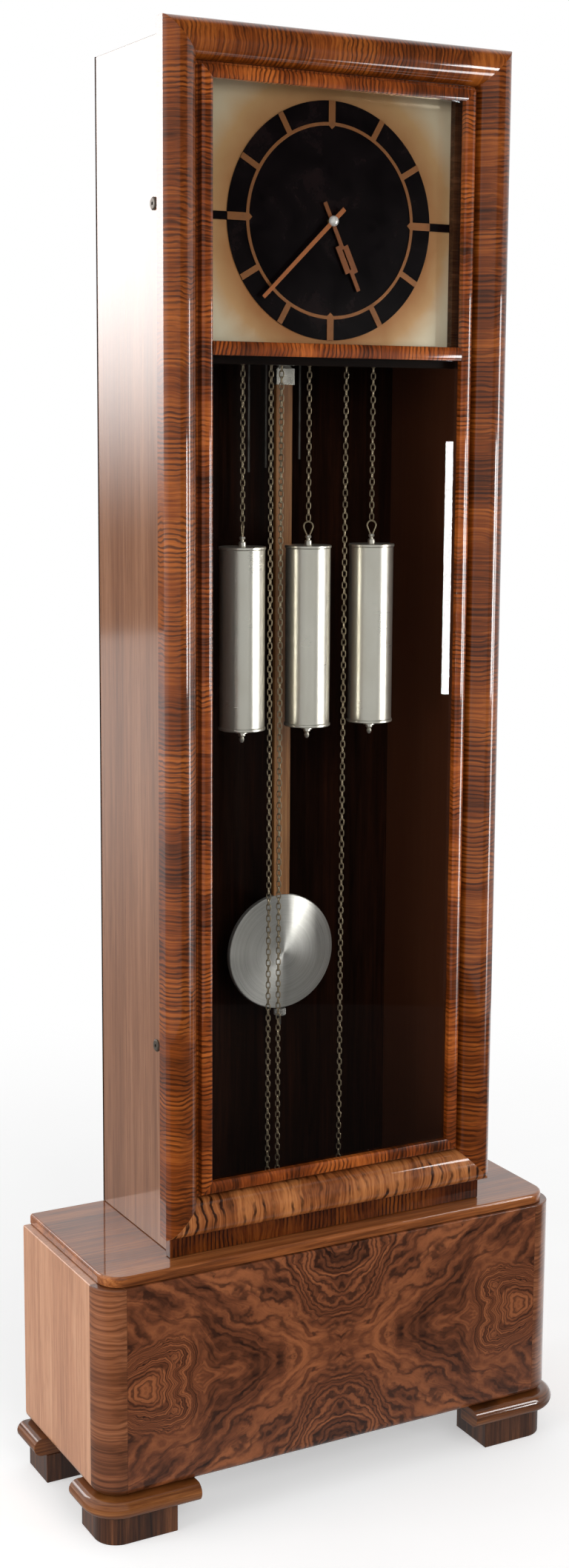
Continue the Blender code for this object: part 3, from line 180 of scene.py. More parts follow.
def walnut(name, lines, dark, mid, pale, seed, lacquer=0.06, worn=0.35, veins=0.5, polish=1.0,
           stained=0.0, painted_shade_below=0.0):
    """Walnut under lacquer; lines counts the grain along x, y and z in streaks to the metre."""
    f = lacquered(name, lacquer, polish)
    dark, mid, pale = tone(*dark), tone(*mid), tone(*pale)
    x, y, z = [along * count + seed for along, count in zip((f.x, f.y, f.z), lines)]
    cloud = f.marks(x * 0.13, y * 0.13, z * 0.13, detail=3.0)
    streak = f.marks(x, y, z, detail=6.0, rough=0.62, bend=0.4)
    pores = f.marks(x * 5.0, y * 5.0, z * 5.0, detail=2.0)
    grain = cloud * 0.42 + streak * 0.58
    soft_mid = tuple((a + b) / 2 for a, b in zip(dark, mid))
    wood = f.tones(grain, (0.33, dark), (0.43, soft_mid), (0.52, mid), (0.66, pale))
    growth = f.marks(x * 0.45 + 9.0, y * 0.45, z * 0.45, detail=3.0, rough=0.5, bend=0.4)
    ring_line = (growth - 0.5).size().between(0.004, 0.05).flipped() * cloud.between(0.62, 0.42)
    wood = f.over(ring_line * veins, wood, tuple(c * 0.55 for c in dark))
    wood = f.over(pores.between(0.55, 0.72) * 0.4, wood, tuple(c * 0.4 for c in dark))
    rubbed = f.edges(0.0016) * worn * cloud.between(0.35, 0.6)
    wood = f.over(rubbed, wood, pale)
    if stained:
        inside = f.x.size().between(stained, stained + 0.004).flipped()
        wood = f.over(inside * 0.90, wood, tone(82, 43, 26))
    # Below the given height the wood is painted near black: painted shade.
    if painted_shade_below:
        painted_shade_low = f.z.between(painted_shade_below, painted_shade_below + 0.003).flipped()
        wood = f.over(painted_shade_low * 0.94, wood, tone(10, 6, 5))
    return f.lay(wood, streak * 0.25 + rubbed * 0.2 + 0.25, pores * 0.6 + streak * 0.4, 0.00006)


def walls(bm, rings):
    """Faces from each ring of corners to the next one."""
    for first, second in zip(rings, rings[1:]):
        for k in range(len(first)):
            after = (k + 1) % len(first)
            bm.faces.new((first[k], first[after], second[after], second[k]))


def skin(outlines, closed=False, bm=None):
    """A mesh from outline to outline; a path that doesn't close gets a face on each end."""
    if bm is None:
        bm = bmesh.new()
    rings = [[bm.verts.new(point) for point in outline] for outline in outlines]
    walls(bm, rings + rings[:1] if closed else rings)
    if not closed:
        bm.faces.new(rings[0])
        bm.faces.new(rings[-1])
    return bm


def arc(centre, radius, start, turn, steps):
    """Points of a round corner, from a start angle through a turn, both in degrees."""
    angles = [math.radians(start + turn * k / steps) for k in range(steps + 1)]
    return [(centre[0] + radius * math.cos(a), centre[1] + radius * math.sin(a)) for a in angles]


def stood(name, bm):
    """A built mesh as an object of the scene."""
    mesh = bpy.data.meshes.new(name)
    bm.to_mesh(mesh)
    bm.free()
    thing = bpy.data.objects.new(name, mesh)
    bpy.context.scene.collection.objects.link(thing)
    return thing


def fitted(name, bm, finish, slot, body, *nodes, edge=0.0, crease=38):
    """A finished piece set on its body, in the place of the nodes that it stands for."""
    bmesh.ops.recalc_face_normals(bm, faces=bm.faces)
    piece = stood(name, bm)
    piece.data.shade_smooth()
    piece.data.set_sharp_from_angle(angle=math.radians(crease))
    piece.data.materials.append(finish)
    if edge:
        broken = piece.modifiers.new("broken_edge", "BEVEL")
        broken.width = edge
        broken.segments = 3
        broken.limit_method = "ANGLE"
        broken.angle_limit = math.radians(crease)
        broken.harden_normals = True
    true_faces = piece.modifiers.new("true_faces", "WEIGHTED_NORMAL")
    true_faces.keep_sharp = True
    if body:
        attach(piece, body)
    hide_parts(*nodes)
    return piece


def from_middle(low, high):
    """How far from the clock's middle a piece at one side of it starts and ends."""
    return sorted((abs(low.x), abs(high.x)))


def foot_block(side, sign, end):
    low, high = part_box(f"foot_{end}_{side}")
    inner, outer = from_middle(low, high)
    corner = 0.033
    plan = [(inner, low.y), (outer, low.y), (outer, high.y), (inner, high.y)]
    if end == "front":
        plan[1:2] = arc((outer - corner, low.y + corner), corner, 270, 90, 20)
    block = skin([[(sign * x, y, level) for x, y in plan] for level in (low.z, high.z)])
    fitted(f"block_{end}_{side}", block, block_walnut, "walnut_foot", "case", f"foot_{end}_{side}",
           edge=0.0012)


block_walnut = walnut(
    "block_walnut", (190, 190, 7), (36, 18, 9), (76, 42, 22), (112, 68, 40), 3.1, lacquer=0.16)
both_sides = (("left", -1), ("right", 1))
four_feet = [(side, sign, end) for side, sign in both_sides for end in ("front", "back")]
for foot in four_feet:
    foot_block(*foot)


# Rails. A half-round walnut rail lies on each foot block and carries the base; its nose stands out all round.
# The front ones are shaped round the corner, the back ones are straight. Their grain runs along them.

def round_corner(x, y, radius, steps):
    """Places and turns along a quarter round, from the clock's side to its front."""
    turns = [math.radians(90 * k / steps) for k in range(steps + 1)]
    return [(x + radius * math.cos(a), y - radius * math.sin(a), a) for a in turns]


def turned_section(section, sign, x, y, a):
    """A section's points where a path has come to x, y and has turned by a."""
    return [(sign * (x - d * math.cos(a)), y + d * math.sin(a), h) for d, h in section]


def rail(side, sign, end):
    low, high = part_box(f"rail_{end}_{side}")
    inner, outer = from_middle(low, high)
    radius = (high.z - low.z) / 2
    width = 0.044
    corner = 0.052
    section = [(radius - a, low.z + radius + b) for a, b in arc((0, 0), radius, -90, 180, 20)]
    section += [(width, high.z), (width, low.z)]
    path = [(outer, high.y, 0.0)]
    if end == "front":
        path += round_corner(outer - corner, low.y + corner, corner, 20)
        path.append((inner, low.y, math.pi / 2))
    else:
        path.append((outer, low.y, 0.0))
    nosed = skin([turned_section(section, sign, *stop) for stop in path])
    fitted(f"nosed_rail_{end}_{side}", nosed, rail_walnut, "walnut_rail", "case", f"rail_{end}_{side}",
           edge=0.0008, crease=50)


rail_walnut = walnut("rail_walnut", (9, 9, 330), (60, 31, 12), (114, 64, 28), (150, 94, 48), 7.3)
for foot in four_feet:
    rail(*foot)


# Base front. Four leaves of burl walnut, book-matched left to right and top to bottom, lie on the flat front.
# The round corners are veneered on their own with the grain going round them. The lower edge is rounded over.

base_low, base_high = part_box("base_front")
corner_radius = 0.038
wall = 0.020
lower_round = 0.014
upper_ease = 0.0012
veneer_joint = 0.0002
panel_half = base_high.x - corner_radius
base_middle = (base_low.z + base_high.z) / 2
wall_section = [(lower_round + a, base_low.z + lower_round + b)
                for a, b in arc((0, 0), lower_round, 270, -90, 14)]
wall_section += [(0.0, base_high.z - upper_ease), (upper_ease, base_high.z), (wall, base_high.z),
                 (wall, base_low.z)]


def apart(a, b):
    """The distance that two figures at right angles to each other make."""
    return (a.by("POWER", 2.0) + b.by("POWER", 2.0)).by("SQRT")


def burl():
    f = lacquered("burl_veneer", 0.05)
    x = f.x.size()
    z = (f.z - base_middle).size()

    def waver(wide_seed, wide_share, fine_seed, fine_share):
        wide = f.marks(x * 7.0, z * 9.0, wide_seed, detail=2.0) - 0.5
        fine = f.marks(x * 34.0, z * 38.0, fine_seed, detail=3.0) - 0.5
        return wide * wide_share + fine * fine_share

    across = x + waver(2.3, 0.12, 5.1, 0.024)
    up = z + waver(8.9, 0.10, 1.7, 0.024)
    crown = apart(across * 1.15, (up - 0.150) * 0.95)
    flank = apart(across - 0.315, up * 1.25)
    sweep = across * 0.50 - up * 0.80 + 0.3
    near_crown = crown.between(0.055, 0.115).flipped()
    near_flank = flank.between(0.045, 0.105).flipped()
    flow = sweep + (crown * 2.3 - sweep) * near_crown
    flow = flow + (flank * 2.3 - flow) * near_flank
    drift = f.marks(x * 11.0, z * 13.0, 7.7)
    ring = ((flow * 44.0 + drift * 5.5) * (2 * math.pi)).by("SINE") * 0.5 + 0.5
    along = across * 0.80 + up * 0.50
    clouds = f.marks(flow * 30.0, along * 11.0, 4.4, rough=0.52, bend=0.6)
    fibre = f.marks(flow * 170.0, x * 9.0, z * 9.0, detail=3.0, rough=0.6)
    heart = crown.between(0.010, 0.070).flipped() * 0.04 - flank.between(0.0, 0.045).flipped() * 0.07
    figure = clouds * 0.60 + fibre * 0.32 + ring.flipped() * 0.08 - heart + 0.025
    wood = f.tones(figure, (0.36, tone(44, 22, 12)), (0.44, tone(80, 43, 25)), (0.53, tone(110, 61, 36)),
                   (0.66, tone(150, 88, 52)))
    where = f.marks(x * 16.0, z * 18.0, 6.2, detail=3.0).between(0.42, 0.62)
    where = where.by("MAXIMUM", near_crown * 0.9).by("MAXIMUM", near_flank * 0.75)
    wood = f.over(ring.between(0.66, 1.0) * where * 0.62, wood, tone(36, 20, 13))
    knots = f.marks(x * 48.0, z * 48.0, 9.3, detail=3.0, bend=1.5).between(0.62, 0.74)
    wood = f.over(knots * 0.6, wood, tone(40, 23, 15))
    pores = f.marks(f.x * 900.0, f.z * 420.0, f.y * 420.0, detail=2.0)
    wood = f.over(pores.between(0.58, 0.75) * 0.35, wood, tone(40, 22, 14))
    return f.lay(wood, clouds * 0.25 + 0.25, pores * 0.7 + fibre * 0.3, 0.00005)


def banded(name, along, pitch, dark, mid, pale, seed, sway=1.0, lines=0.8, thin=0.40):
    """Veneer with its grain across a piece: wavy dark lines, one after another along x or z."""
    f = lacquered(name, 0.05)
    dark, mid, pale = tone(*dark), tone(*mid), tone(*pale)
    run = f.x if along == "x" else f.z
    over = f.y * 0.8 + (f.z if along == "x" else f.x)
    bend = f.marks(over * 16.0, run * 10.0, seed, detail=2.0) - 0.5
    quiver = f.marks(over * 50.0, run * 40.0, seed + 4.0, detail=2.0) - 0.5
    phase = run * (1.0 / pitch) + bend * (3.4 * sway) + quiver * (1.2 * sway)
    wave = (phase * (2 * math.pi)).by("SINE") * 0.5 + 0.5
    strong = f.marks(over * 20.0, run * 15.0, seed + 9.0, detail=3.0).between(0.34, 0.58)
    fibre = f.marks(over * 12.0, run * 330.0 + bend * 9.0, seed + 2.0, detail=5.0, rough=0.6)
    cloud = f.marks(over * 8.0, run * 12.0, seed + 6.0, rough=0.6)
    wood = f.tones(fibre * 0.42 + cloud * 0.58, (0.36, dark), (0.49, mid), (0.63, pale))
    wood = f.over(wave.between(thin, 0.97) * strong * lines, wood, tuple(c * 0.8 for c in dark))
    pores = f.marks(over * 60.0, run * 900.0, seed, detail=2.0)
    wood = f.over(pores.between(0.56, 0.74) * 0.35, wood, tuple(c * 0.5 for c in dark))
    rubbed = f.edges(0.0016) * 0.35 * cloud.between(0.35, 0.6)
    wood = f.over(rubbed, wood, pale)
    return f.lay(wood, fibre * 0.25 + rubbed * 0.2 + 0.25, pores * 0.6 + fibre * 0.4, 0.00005)


panel_edges = (veneer_joint - panel_half, panel_half - veneer_joint)
panel = skin([[(x, base_low.y + d, h) for d, h in wall_section] for x in panel_edges])
fitted("burl_panel", panel, burl(), "walnut_burl", "case", "base_front", edge=0.0002)
corner_walnut = banded(
    "corner_walnut", "z", 0.0085, (68, 35, 17), (120, 70, 42), (158, 100, 66), 1.9, sway=1.2, lines=0.42)
corner_path = round_corner(panel_half, base_low.y + corner_radius, corner_radius, 24)
for side, sign in both_sides:
    corner = skin([turned_section(wall_section, sign, *stop) for stop in corner_path])
    fitted(f"corner_{side}", corner, corner_walnut, "walnut_polished", "case", "base_front",
           edge=0.0002, crease=30)


# Base sides. Two plain walnut boards with upright grain run back from the corners to the wall.
# They are butted to the round corners and carry the same rounded lower edge.

side_walnut = walnut(
    "side_walnut", (160, 160, 5), (170, 117, 87), (194, 140, 106), (212, 162, 127), 11.0, lacquer=0.14,
    veins=0.2)
for side, sign in both_sides:
    low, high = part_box(f"base_side_{side}")
    board = skin([[(sign * (base_high.x - d), y, h) for d, h in wall_section] for y in (low.y, high.y)])
    fitted(f"side_board_{side}", board, side_walnut, "walnut_polished", "case", f"base_side_{side}",
           edge=0.0004, crease=30)


# Base back and bottom. Plain thin boards close the base behind and below; they stay unpolished, out of sight.
# They are let in between the walls, and the chain ends hang down into the room between them.

def dressed(finish, *nodes):
    """Nodes of the model that keep their shape and get their finish."""
    for node in nodes:
        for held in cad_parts[node].material_slots:
            held.material = finish


plain_board = walnut(
    "plain_board", (9, 190, 190), (38, 24, 16), (64, 42, 29), (86, 60, 43), 4.7, lacquer=0.4, worn=0.2)
dressed(plain_board, "base_back", "base_bottom")


# Base top slab. A walnut board with round front corners and a nosed upper edge sits in from the base.
# Its grain runs from side to side. A way is cut through it under the case for the chain tails.

low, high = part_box("base_top")
slab_corner, slab_nose, slab_ease = 0.033, 0.004, 0.0012
way_half, way_front, way_back = 0.202, -0.0422, 0.108
levels = [(slab_ease, low.z), (0.0, low.z + slab_ease)]
levels += [(slab_nose - a, high.z - slab_nose + b) for a, b in arc((0, 0), slab_nose, 0, 90, 8)]
bm = bmesh.new()
rings = []
for inset, level in levels:
    half, front, reach = high.x - inset, low.y + inset, slab_corner - inset
    plan = arc((reach - half, front + reach), reach, 180, 90, 20)
    plan += arc((half - reach, front + reach), reach, 270, 90, 20) + [(half, high.y), (-half, high.y)]
    rings.append([bm.verts.new((x, y, level)) for x, y in plan])
walls(bm, rings)
way = [(-way_half, way_front), (way_half, way_front), (way_half, way_back), (-way_half, way_back)]
wells = [[bm.verts.new((x, y, level)) for x, y in way] for level in (low.z, high.z)]
walls(bm, wells)
for pair in ((rings[0], wells[0]), (rings[-1], wells[1])):
    around = [bm.edges.get(ends) for loop in pair for ends in zip(loop, loop[1:] + loop[:1])]
    bmesh.ops.triangle_fill(bm, use_beauty=True, edges=around)
slab_walnut = walnut(
    "slab_walnut", (8, 210, 210), (92, 46, 19), (146, 83, 40), (180, 113, 62), 5.9, lacquer=0.05)
fitted("top_slab", bm, slab_walnut, "walnut_polished", "case", "base_top")


# Case. Two sides with upright grain, a top and a thin back make the tall case; it is open at the front.
# The outside is polished, the inside stained dark, and a thin dark lip covers each rear edge.
# A strip closes the front under the door.

case_walnut = walnut(
    "case_walnut", (150, 150, 4), (112, 71, 47), (137, 93, 66), (155, 111, 83), 21.0, lacquer=0.10, veins=0.2,
    stained=0.226)
dark_walnut = walnut(
    "dark_walnut", (120, 120, 5), (16, 7, 3), (31, 15, 8), (47, 23, 12), 2.6, lacquer=0.4, worn=0.1,
    polish=0.05)
dressed(case_walnut, "case_side_left", "case_side_right", "case_top")
dressed(dark_walnut, "case_back")
lip_proud, lip_deep, lip_wide, lip_clear = 0.0005, 0.0025, 0.012, 0.0002
for side, sign in both_sides:
    low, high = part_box(f"case_side_{side}")
    outer = from_middle(low, high)[1] + lip_proud
    front, back = high.y - lip_deep, high.y + lip_proud
    plan = [(outer, back), (outer, front), (outer - lip_wide, front), (outer - lip_wide, back)]
    lip = skin([[(sign * x, y, level) for x, y in plan] for level in (low.z + lip_clear, high.z)])
    fitted(f"edge_lip_{side}", lip, dark_walnut, "walnut_polished", "case", edge=0.0003)
strip_walnut = banded(
    "strip_walnut", "x", 0.0065, (38, 12, 1), (88, 37, 5), (126, 64, 15), 6.6, sway=0.4, lines=0.95)
dressed(strip_walnut, "case_strip")


# Door mouldings. Four lengths of cushion moulding, mitred and glued, frame the whole front of the clock.
# Softwood cores carry cross-cut walnut veneer, so the grain crosses each length under thick bright lacquer.

door_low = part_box("door_moulding_left")[0]
door_high = Vector(map(max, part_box("door_moulding_right")[1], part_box("door_moulding_top")[1]))
door_back = door_high.y


def cushion():
    """The outer moulding's section: how far in from the door's edge, how far forward of its back."""
    edge, crest, width, rise, low = 0.0185, 0.0206, 0.049, 0.034, 0.009
    points = [(0.0, 0.0)]
    for k in range(20):
        u = math.cos(math.radians(90 * k / 20))
        points.append((crest * (1 - u), edge + (rise - edge) * (1 - u ** 2.4) ** 0.625))
    for k in range(25):
        u = math.sin(math.radians(90 * k / 24))
        points.append((crest + (width - crest) * u, low + (rise - low) * (1 - u ** 2.4) ** 0.625))
    return points + [(width, 0.0)]


def mitred(name, section, edge_side, finish, *nodes):
    """One length of moulding along a side of the door, cut at 45 degrees at both ends."""
    joint = 0.00015
    outlines = [[], []]
    for far in (0, 1):
        for inset, forward in section:
            trim = inset + joint
            x = (door_low.x + trim, door_high.x - trim)[far]
            z = (door_low.z + trim, door_high.z - trim)[far]
            place = {"left": (door_low.x + inset, z), "right": (door_high.x - inset, z),
                     "bottom": (x, door_low.z + inset), "top": (x, door_high.z - inset)}[edge_side]
            outlines[far].append((place[0], door_back - forward, place[1]))
    fitted(name, skin(outlines), finish, "walnut_polished", "door", *nodes, crease=45)


hinge_seat = [(0.0177, 0.0), (0.0177, 0.0024), (0.0101, 0.0024), (0.0101, 0.0)]
for edge_side, along, seed in (("left", "z", 0.0), ("right", "z", 31.7), ("top", "x", 57.2)):
    stripe_walnut = banded(
        f"stripe_walnut_{edge_side}", along, 0.0068, (50, 21, 3), (118, 55, 13), (166, 90, 31), seed,
        sway=1.15, lines=0.75)
    section = cushion() + (hinge_seat if edge_side == "right" else [])
    mitred(f"cushion_{edge_side}", section, edge_side, stripe_walnut, f"door_moulding_{edge_side}")
pale_walnut = banded(
    "pale_walnut", "x", 0.0150, (54, 25, 8), (138, 77, 38), (186, 118, 66), 12.4, sway=0.6, lines=1.0,
    thin=0.68)
mitred("cushion_bottom", cushion(), "bottom", pale_walnut, "door_moulding_bottom")


# Glazing moulding. Inside a sunk black line, a slim red-brown bead with mitred corners holds the glass.
# The crossbar under the dial has the same bead on both edges and a fin between the two panes.

def bead(width):
    """A bead's face, rounded on both edges, as how far across and how far forward."""
    flat, swell = 0.0165, 0.0035
    points = [(0.0, flat)]
    for k in range(1, 24):
        a = math.radians(180 - 180 * k / 24)
        points.append((width * (1 + math.cos(a)) / 2, flat + swell * math.sin(a) ** 0.5))
    return points + [(width, flat)]


sunk_start, sunk_line, sunk_floor = 0.0493, 0.0044, 0.008
bead_start, bead_width = sunk_start + sunk_line, 0.0165
rebate_floor, rebate_width = 0.0105, 0.0062
glass_sight = bead_start + bead_width
glazing_section = [(sunk_start, 0.0), (sunk_start, sunk_floor), (bead_start, sunk_floor)]
glazing_section += [(bead_start + a, b) for a, b in bead(bead_width)]
glazing_section += [(glass_sight, rebate_floor), (glass_sight - rebate_width, rebate_floor),
                    (glass_sight - rebate_width, 0.0)]
bead_tones = ((56, 23, 3), (132, 60, 15), (186, 99, 37))
bead_pitch = 0.0065
bead_sides = (("left", "z", 3.3), ("right", "z", 8.8), ("top", "x", 14.1), ("bottom", "x", 19.6))
for edge_side, along, seed in bead_sides:
    bead_walnut = banded(f"bead_walnut_{edge_side}", along, bead_pitch, *bead_tones, seed)
    mitred(f"bead_{edge_side}", glazing_section, edge_side, bead_walnut, "door_glazing_moulding")
bar_low, bar_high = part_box("door_crossbar")
bar_height = bar_high.z - bar_low.z
fin_half = 0.003
fin_low = bar_low.z + bar_height / 2 - fin_half
fin_high = bar_low.z + bar_height / 2 + fin_half
bar_section = [(b, bar_low.z + a) for a, b in bead(bar_height)]
bar_section += [(rebate_floor, bar_high.z), (rebate_floor, fin_high), (0.0, fin_high),
                (0.0, fin_low), (rebate_floor, fin_low), (rebate_floor, bar_low.z)]
bar = skin([[(x, door_back - forward, z) for forward, z in bar_section] for x in (bar_low.x, bar_high.x)])
bar_walnut = banded("bar_walnut", "x", bead_pitch, *bead_tones, 23.9)
fitted("bar_under_dial", bar, bar_walnut, "walnut_polished", "door", "door_crossbar", crease=45)


# Glass. Two panes of plain drawn sheet lie in the rebate, a little dusty, with the faint waver of old glass.
# Light goes straight through them, so the case behind is lit as the room lights it.

def ray(f, kind):
    """One for light of that kind, nothing for any other."""
    return Figure(f, f.node("LightPath").outputs[f"Is {kind} Ray"])


def sheet_glass():
    f = Finish("sheet_glass", Metallic=1.0)
    waver = f.spread(9.0, 1.0, 4.0, detail=1.0)
    dust = f.spread(60.0, 1.0, 60.0, detail=5.0).between(0.5, 0.8)
    tint = f.tones(dust, (0.0, (0.97, 0.98, 0.975)), (1.0, (0.93, 0.94, 0.93)))
    glass = f.lay(tint, 0.0, waver, 0.000015)
    clear = f.node("BsdfTransparent", {"Color": (0.97, 0.975, 0.972)})
    entered = Figure(f, f.node("NewGeometry").outputs["Backfacing"]).flipped()
    mirror = Figure(f, f.node("Fresnel", {"IOR": 1.45}).outputs["Fac"])
    mirror = mirror * 1.3 * entered * ray(f, "Shadow").flipped()
    mix = f.node("MixShader", {0: mirror, 1: clear.outputs["BSDF"], 2: f.shader.outputs["BSDF"]})
    f.show(mix.outputs["Shader"])
    return glass


dressed(sheet_glass(), "door_glass_upper", "door_glass_lower")


# Hinge, latches and catches. A long brass hinge hangs the door on its right edge; its knuckles share one pin.
# Two nickel key sockets in the left side turn hooks over pins on the back of the door.

def metal(name, colour, rough, scratch, stain, tarnish=0.25, shine=0.7):
    """Bright metal, with brush lines to the metre along x, y and z and patches of tarnish."""
    f = Finish(name, Metallic=shine)
    colour, stain = tone(*colour), tone(*stain)
    brush = f.spread(*scratch, rough=0.6)
    patch = f.spread(37.0, 37.0, 37.0).between(0.45, 0.75)
    face = f.over(patch * tarnish, colour, stain)
    bright = tuple(min(1.0, c * 1.25) for c in colour)
    face = f.over(f.edges(0.0008) * 0.5, face, bright)
    return f.lay(face, brush * 0.12 + patch * 0.10 + (rough - 0.06), brush, 0.00002)


hinge_brass = metal("hinge_brass", (190, 150, 84), 0.30, (300, 300, 40), (120, 84, 40))
dressed(hinge_brass, "hinge_case_leaf", "hinge_door_leaf", "catch_upper", "catch_lower")
# The sockets' nickel is painted dark all over, as painted shade of their keyholes, with patches of tarnish.
latch_nickel_keyhole_shade = metal("latch_nickel_keyhole_shade", (96, 86, 76), 0.42, (300, 300, 300), (52, 42, 34), 0.6)
dressed(latch_nickel_keyhole_shade, "latch_upper", "latch_lower")


# Dial. A dark wooden surround, with painted shade in near black under the crossbar, frames a
# champagne-coloured plate.
# On the plate lie a black enamelled disc with a stub to each side and a copper ring with twelve bars.

# Below the crossbar's lower edge the surround carries painted shade in near black.
surround_walnut = walnut(
    "surround_walnut", (11, 60, 190), (40, 22, 13), (74, 45, 28), (100, 66, 44), 9.4, polish=0.3,
    painted_shade_below=bar_low.z + 0.002)
dressed(surround_walnut, "dial_surround")
disc_low, disc_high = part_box("dial_disc")
dial_middle = (disc_low.z + disc_high.z) / 2
disc_radius = 0.154


def champagne():
    f = Finish("champagne_plate", Metallic=0.3)
    brush = f.spread(700.0, 1.0, 9.0, detail=3.0)
    cloud = f.spread(15.0, 1.0, 15.0, detail=5.0, bend=0.6)
    out = apart(f.x, f.z - dial_middle)
    # The plate is browner next to the disc and paler out towards its edges.
    from_disc_edge = out.between(disc_radius - 0.01, disc_radius + 0.075)
    face = f.tones(from_disc_edge * 0.75 + cloud * 0.35, (0.12, tone(176, 112, 64)), (0.5, tone(214, 168, 118)),
                   (0.9, tone(240, 226, 196)))
    # Towards its top the plate is laid darker and browner: painted shade, for the light falling weaker high
    # on the plate.
    painted_shade_at_top = (f.z - dial_middle).between(-0.16, 0.15) * 0.42
    face = f.over(painted_shade_at_top, face, tone(150, 122, 84))
    return f.lay(face, brush * 0.06 + cloud * 0.08 + 0.11, brush, 0.000008)


dressed(champagne(), "dial_plate")


def sawn_plate(name, loops, thick, front, finish, slot, body, *nodes, turn=0.0, edge=0.00015):
    """A flat piece fretted out of sheet, its inner outlines holes, its edges eased."""
    drawing = bpy.data.curves.new(name, "CURVE")
    drawing.dimensions = "2D"
    drawing.fill_mode = "BOTH"
    drawing.extrude = thick / 2 - edge
    drawing.bevel_depth = edge
    drawing.bevel_resolution = 1
    drawing.offset = -edge
    for loop in loops:
        line = drawing.splines.new("POLY")
        line.points.add(len(loop) - 1)
        line.use_cyclic_u = True
        for point, (a, b) in zip(line.points, loop):
            point.co = (a, b, 0.0, 1.0)
    drawn = bpy.data.objects.new(name, drawing)
    bpy.context.scene.collection.objects.link(drawn)
    bpy.context.view_layer.update()
    cut = bpy.data.meshes.new_from_object(drawn.evaluated_get(bpy.context.evaluated_depsgraph_get()))
    bm = bmesh.new()
    bm.from_mesh(cut)
    bpy.data.objects.remove(drawn)
    bpy.data.curves.remove(drawing)
    bpy.data.meshes.remove(cut)
    bmesh.ops.remove_doubles(bm, verts=bm.verts, dist=1e-6)
    stand = Matrix.Translation((0.0, front + thick / 2, dial_middle))
    stand = stand @ Matrix.Rotation(math.radians(turn), 4, "Y") @ Matrix.Rotation(math.pi / 2, 4, "X")
    bmesh.ops.transform(bm, verts=bm.verts, matrix=stand)
    fitted(name, bm, finish, slot, body, *nodes, crease=12)


def enamel():
    f = Finish("black_enamel", Specular_IOR_Level=0.12)
    cloud = f.spread(22.0, 1.0, 22.0, detail=5.0, bend=0.5)
    speck = f.spread(260.0, 1.0, 260.0, detail=3.0)
    face = f.tones(cloud * 0.8 + speck * 0.2, (0.35, tone(5, 2, 3)), (0.55, tone(12, 6, 7)),
                   (0.7, tone(26, 14, 14)))
    return f.lay(face, cloud * 0.14 + 0.16, speck, 0.00002)


disc_sheet = 0.0012
stub_half = 0.00525
lean = math.degrees(math.asin(stub_half / disc_radius))
disc_line = []
for sign, start in ((1, 0.0), (-1, 180.0)):
    disc_line += [(sign * disc_high.x, -sign * stub_half), (sign * disc_high.x, sign * stub_half)]
    disc_line += arc((0, 0), disc_radius, start + lean, 180 - 2 * lean, 120)
arbor_hole = arc((0, 0), 0.005, 0, 354, 59)
sawn_plate("enamel_disc", [disc_line, arbor_hole], disc_sheet, disc_low.y, enamel(), "dial_black", "case",
           "dial_disc", edge=0.0001)

ring_sheet = 0.0008
ring_inner, ring_outer = 0.1223, 0.1267
quarter_point = 0.0045
ring_line = []
inner_line = []
for hour in range(12):
    middle = 30.0 * hour
    half = 0.0040 if hour % 3 else 0.0050
    narrow = math.degrees(math.asin(half / ring_outer))
    wide = math.degrees(math.asin(half / disc_radius))
    bar_corners = ((ring_outer, -narrow), (disc_radius, -wide), (disc_radius, wide), (ring_outer, narrow))
    for reach, turn in bar_corners:
        a = math.radians(middle + turn)
        ring_line.append((reach * math.cos(a), reach * math.sin(a)))
    ring_line += arc((0, 0), ring_outer, middle + narrow + 0.5, 29.0 - 2 * narrow, 14)
    if hour % 3 == 0:
        inner_line += arc((0, 0), ring_inner - quarter_point, middle, 0.0, 1)[:1]
        inner_line += arc((0, 0), ring_inner, middle + 2.2, 27.8, 14)
    else:
        inner_line += arc((0, 0), ring_inner, middle + 0.5, 27.3 if hour % 3 == 2 else 29.5, 14)
ring_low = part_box("dial_ring")[0]
copper_brush = (240, 240, 240)
ring_copper = metal("ring_copper", (134, 84, 44), 0.36, copper_brush, (84, 50, 28), 0.5, shine=0.5)
sawn_plate("hour_ring", [ring_line, inner_line], ring_sheet, ring_low.y, ring_copper, "copper", "case",
           "dial_ring")


# Hands. Two flat copper hands fretted from sheet: a plain minute hand, an hour hand with two stepped blades.
# They push on to the arbor and its pipe, and a bright domed nut holds them.

def lathe(profile, place, axis, steps, flutes=0, cut=0.0):
    """A turned piece from (radius, distance along the axis) points that start and end on the axis."""
    bm = bmesh.new()
    shift = "ZYX".index(axis)

    def corner(radius, a, along):
        point = (radius * math.cos(a), radius * math.sin(a), along)
        return bm.verts.new(Vector(place) + Vector(point[shift:] + point[:shift]))

    angles = [2 * math.pi * k / steps for k in range(steps)]
    grooves = [cut * (0.5 - 0.5 * math.cos(flutes * a)) for a in angles]
    rings = [[corner(radius - groove, a, along) for a, groove in zip(angles, grooves)]
             for radius, along in profile[1:-1]]
    walls(bm, rings)
    for ring, (_, along) in ((rings[0], profile[0]), (rings[-1], profile[-1])):
        tip = corner(0.0, 0.0, along)
        for first, second in zip(ring, ring[1:] + ring[:1]):
            bm.faces.new((tip, first, second))
    return bm


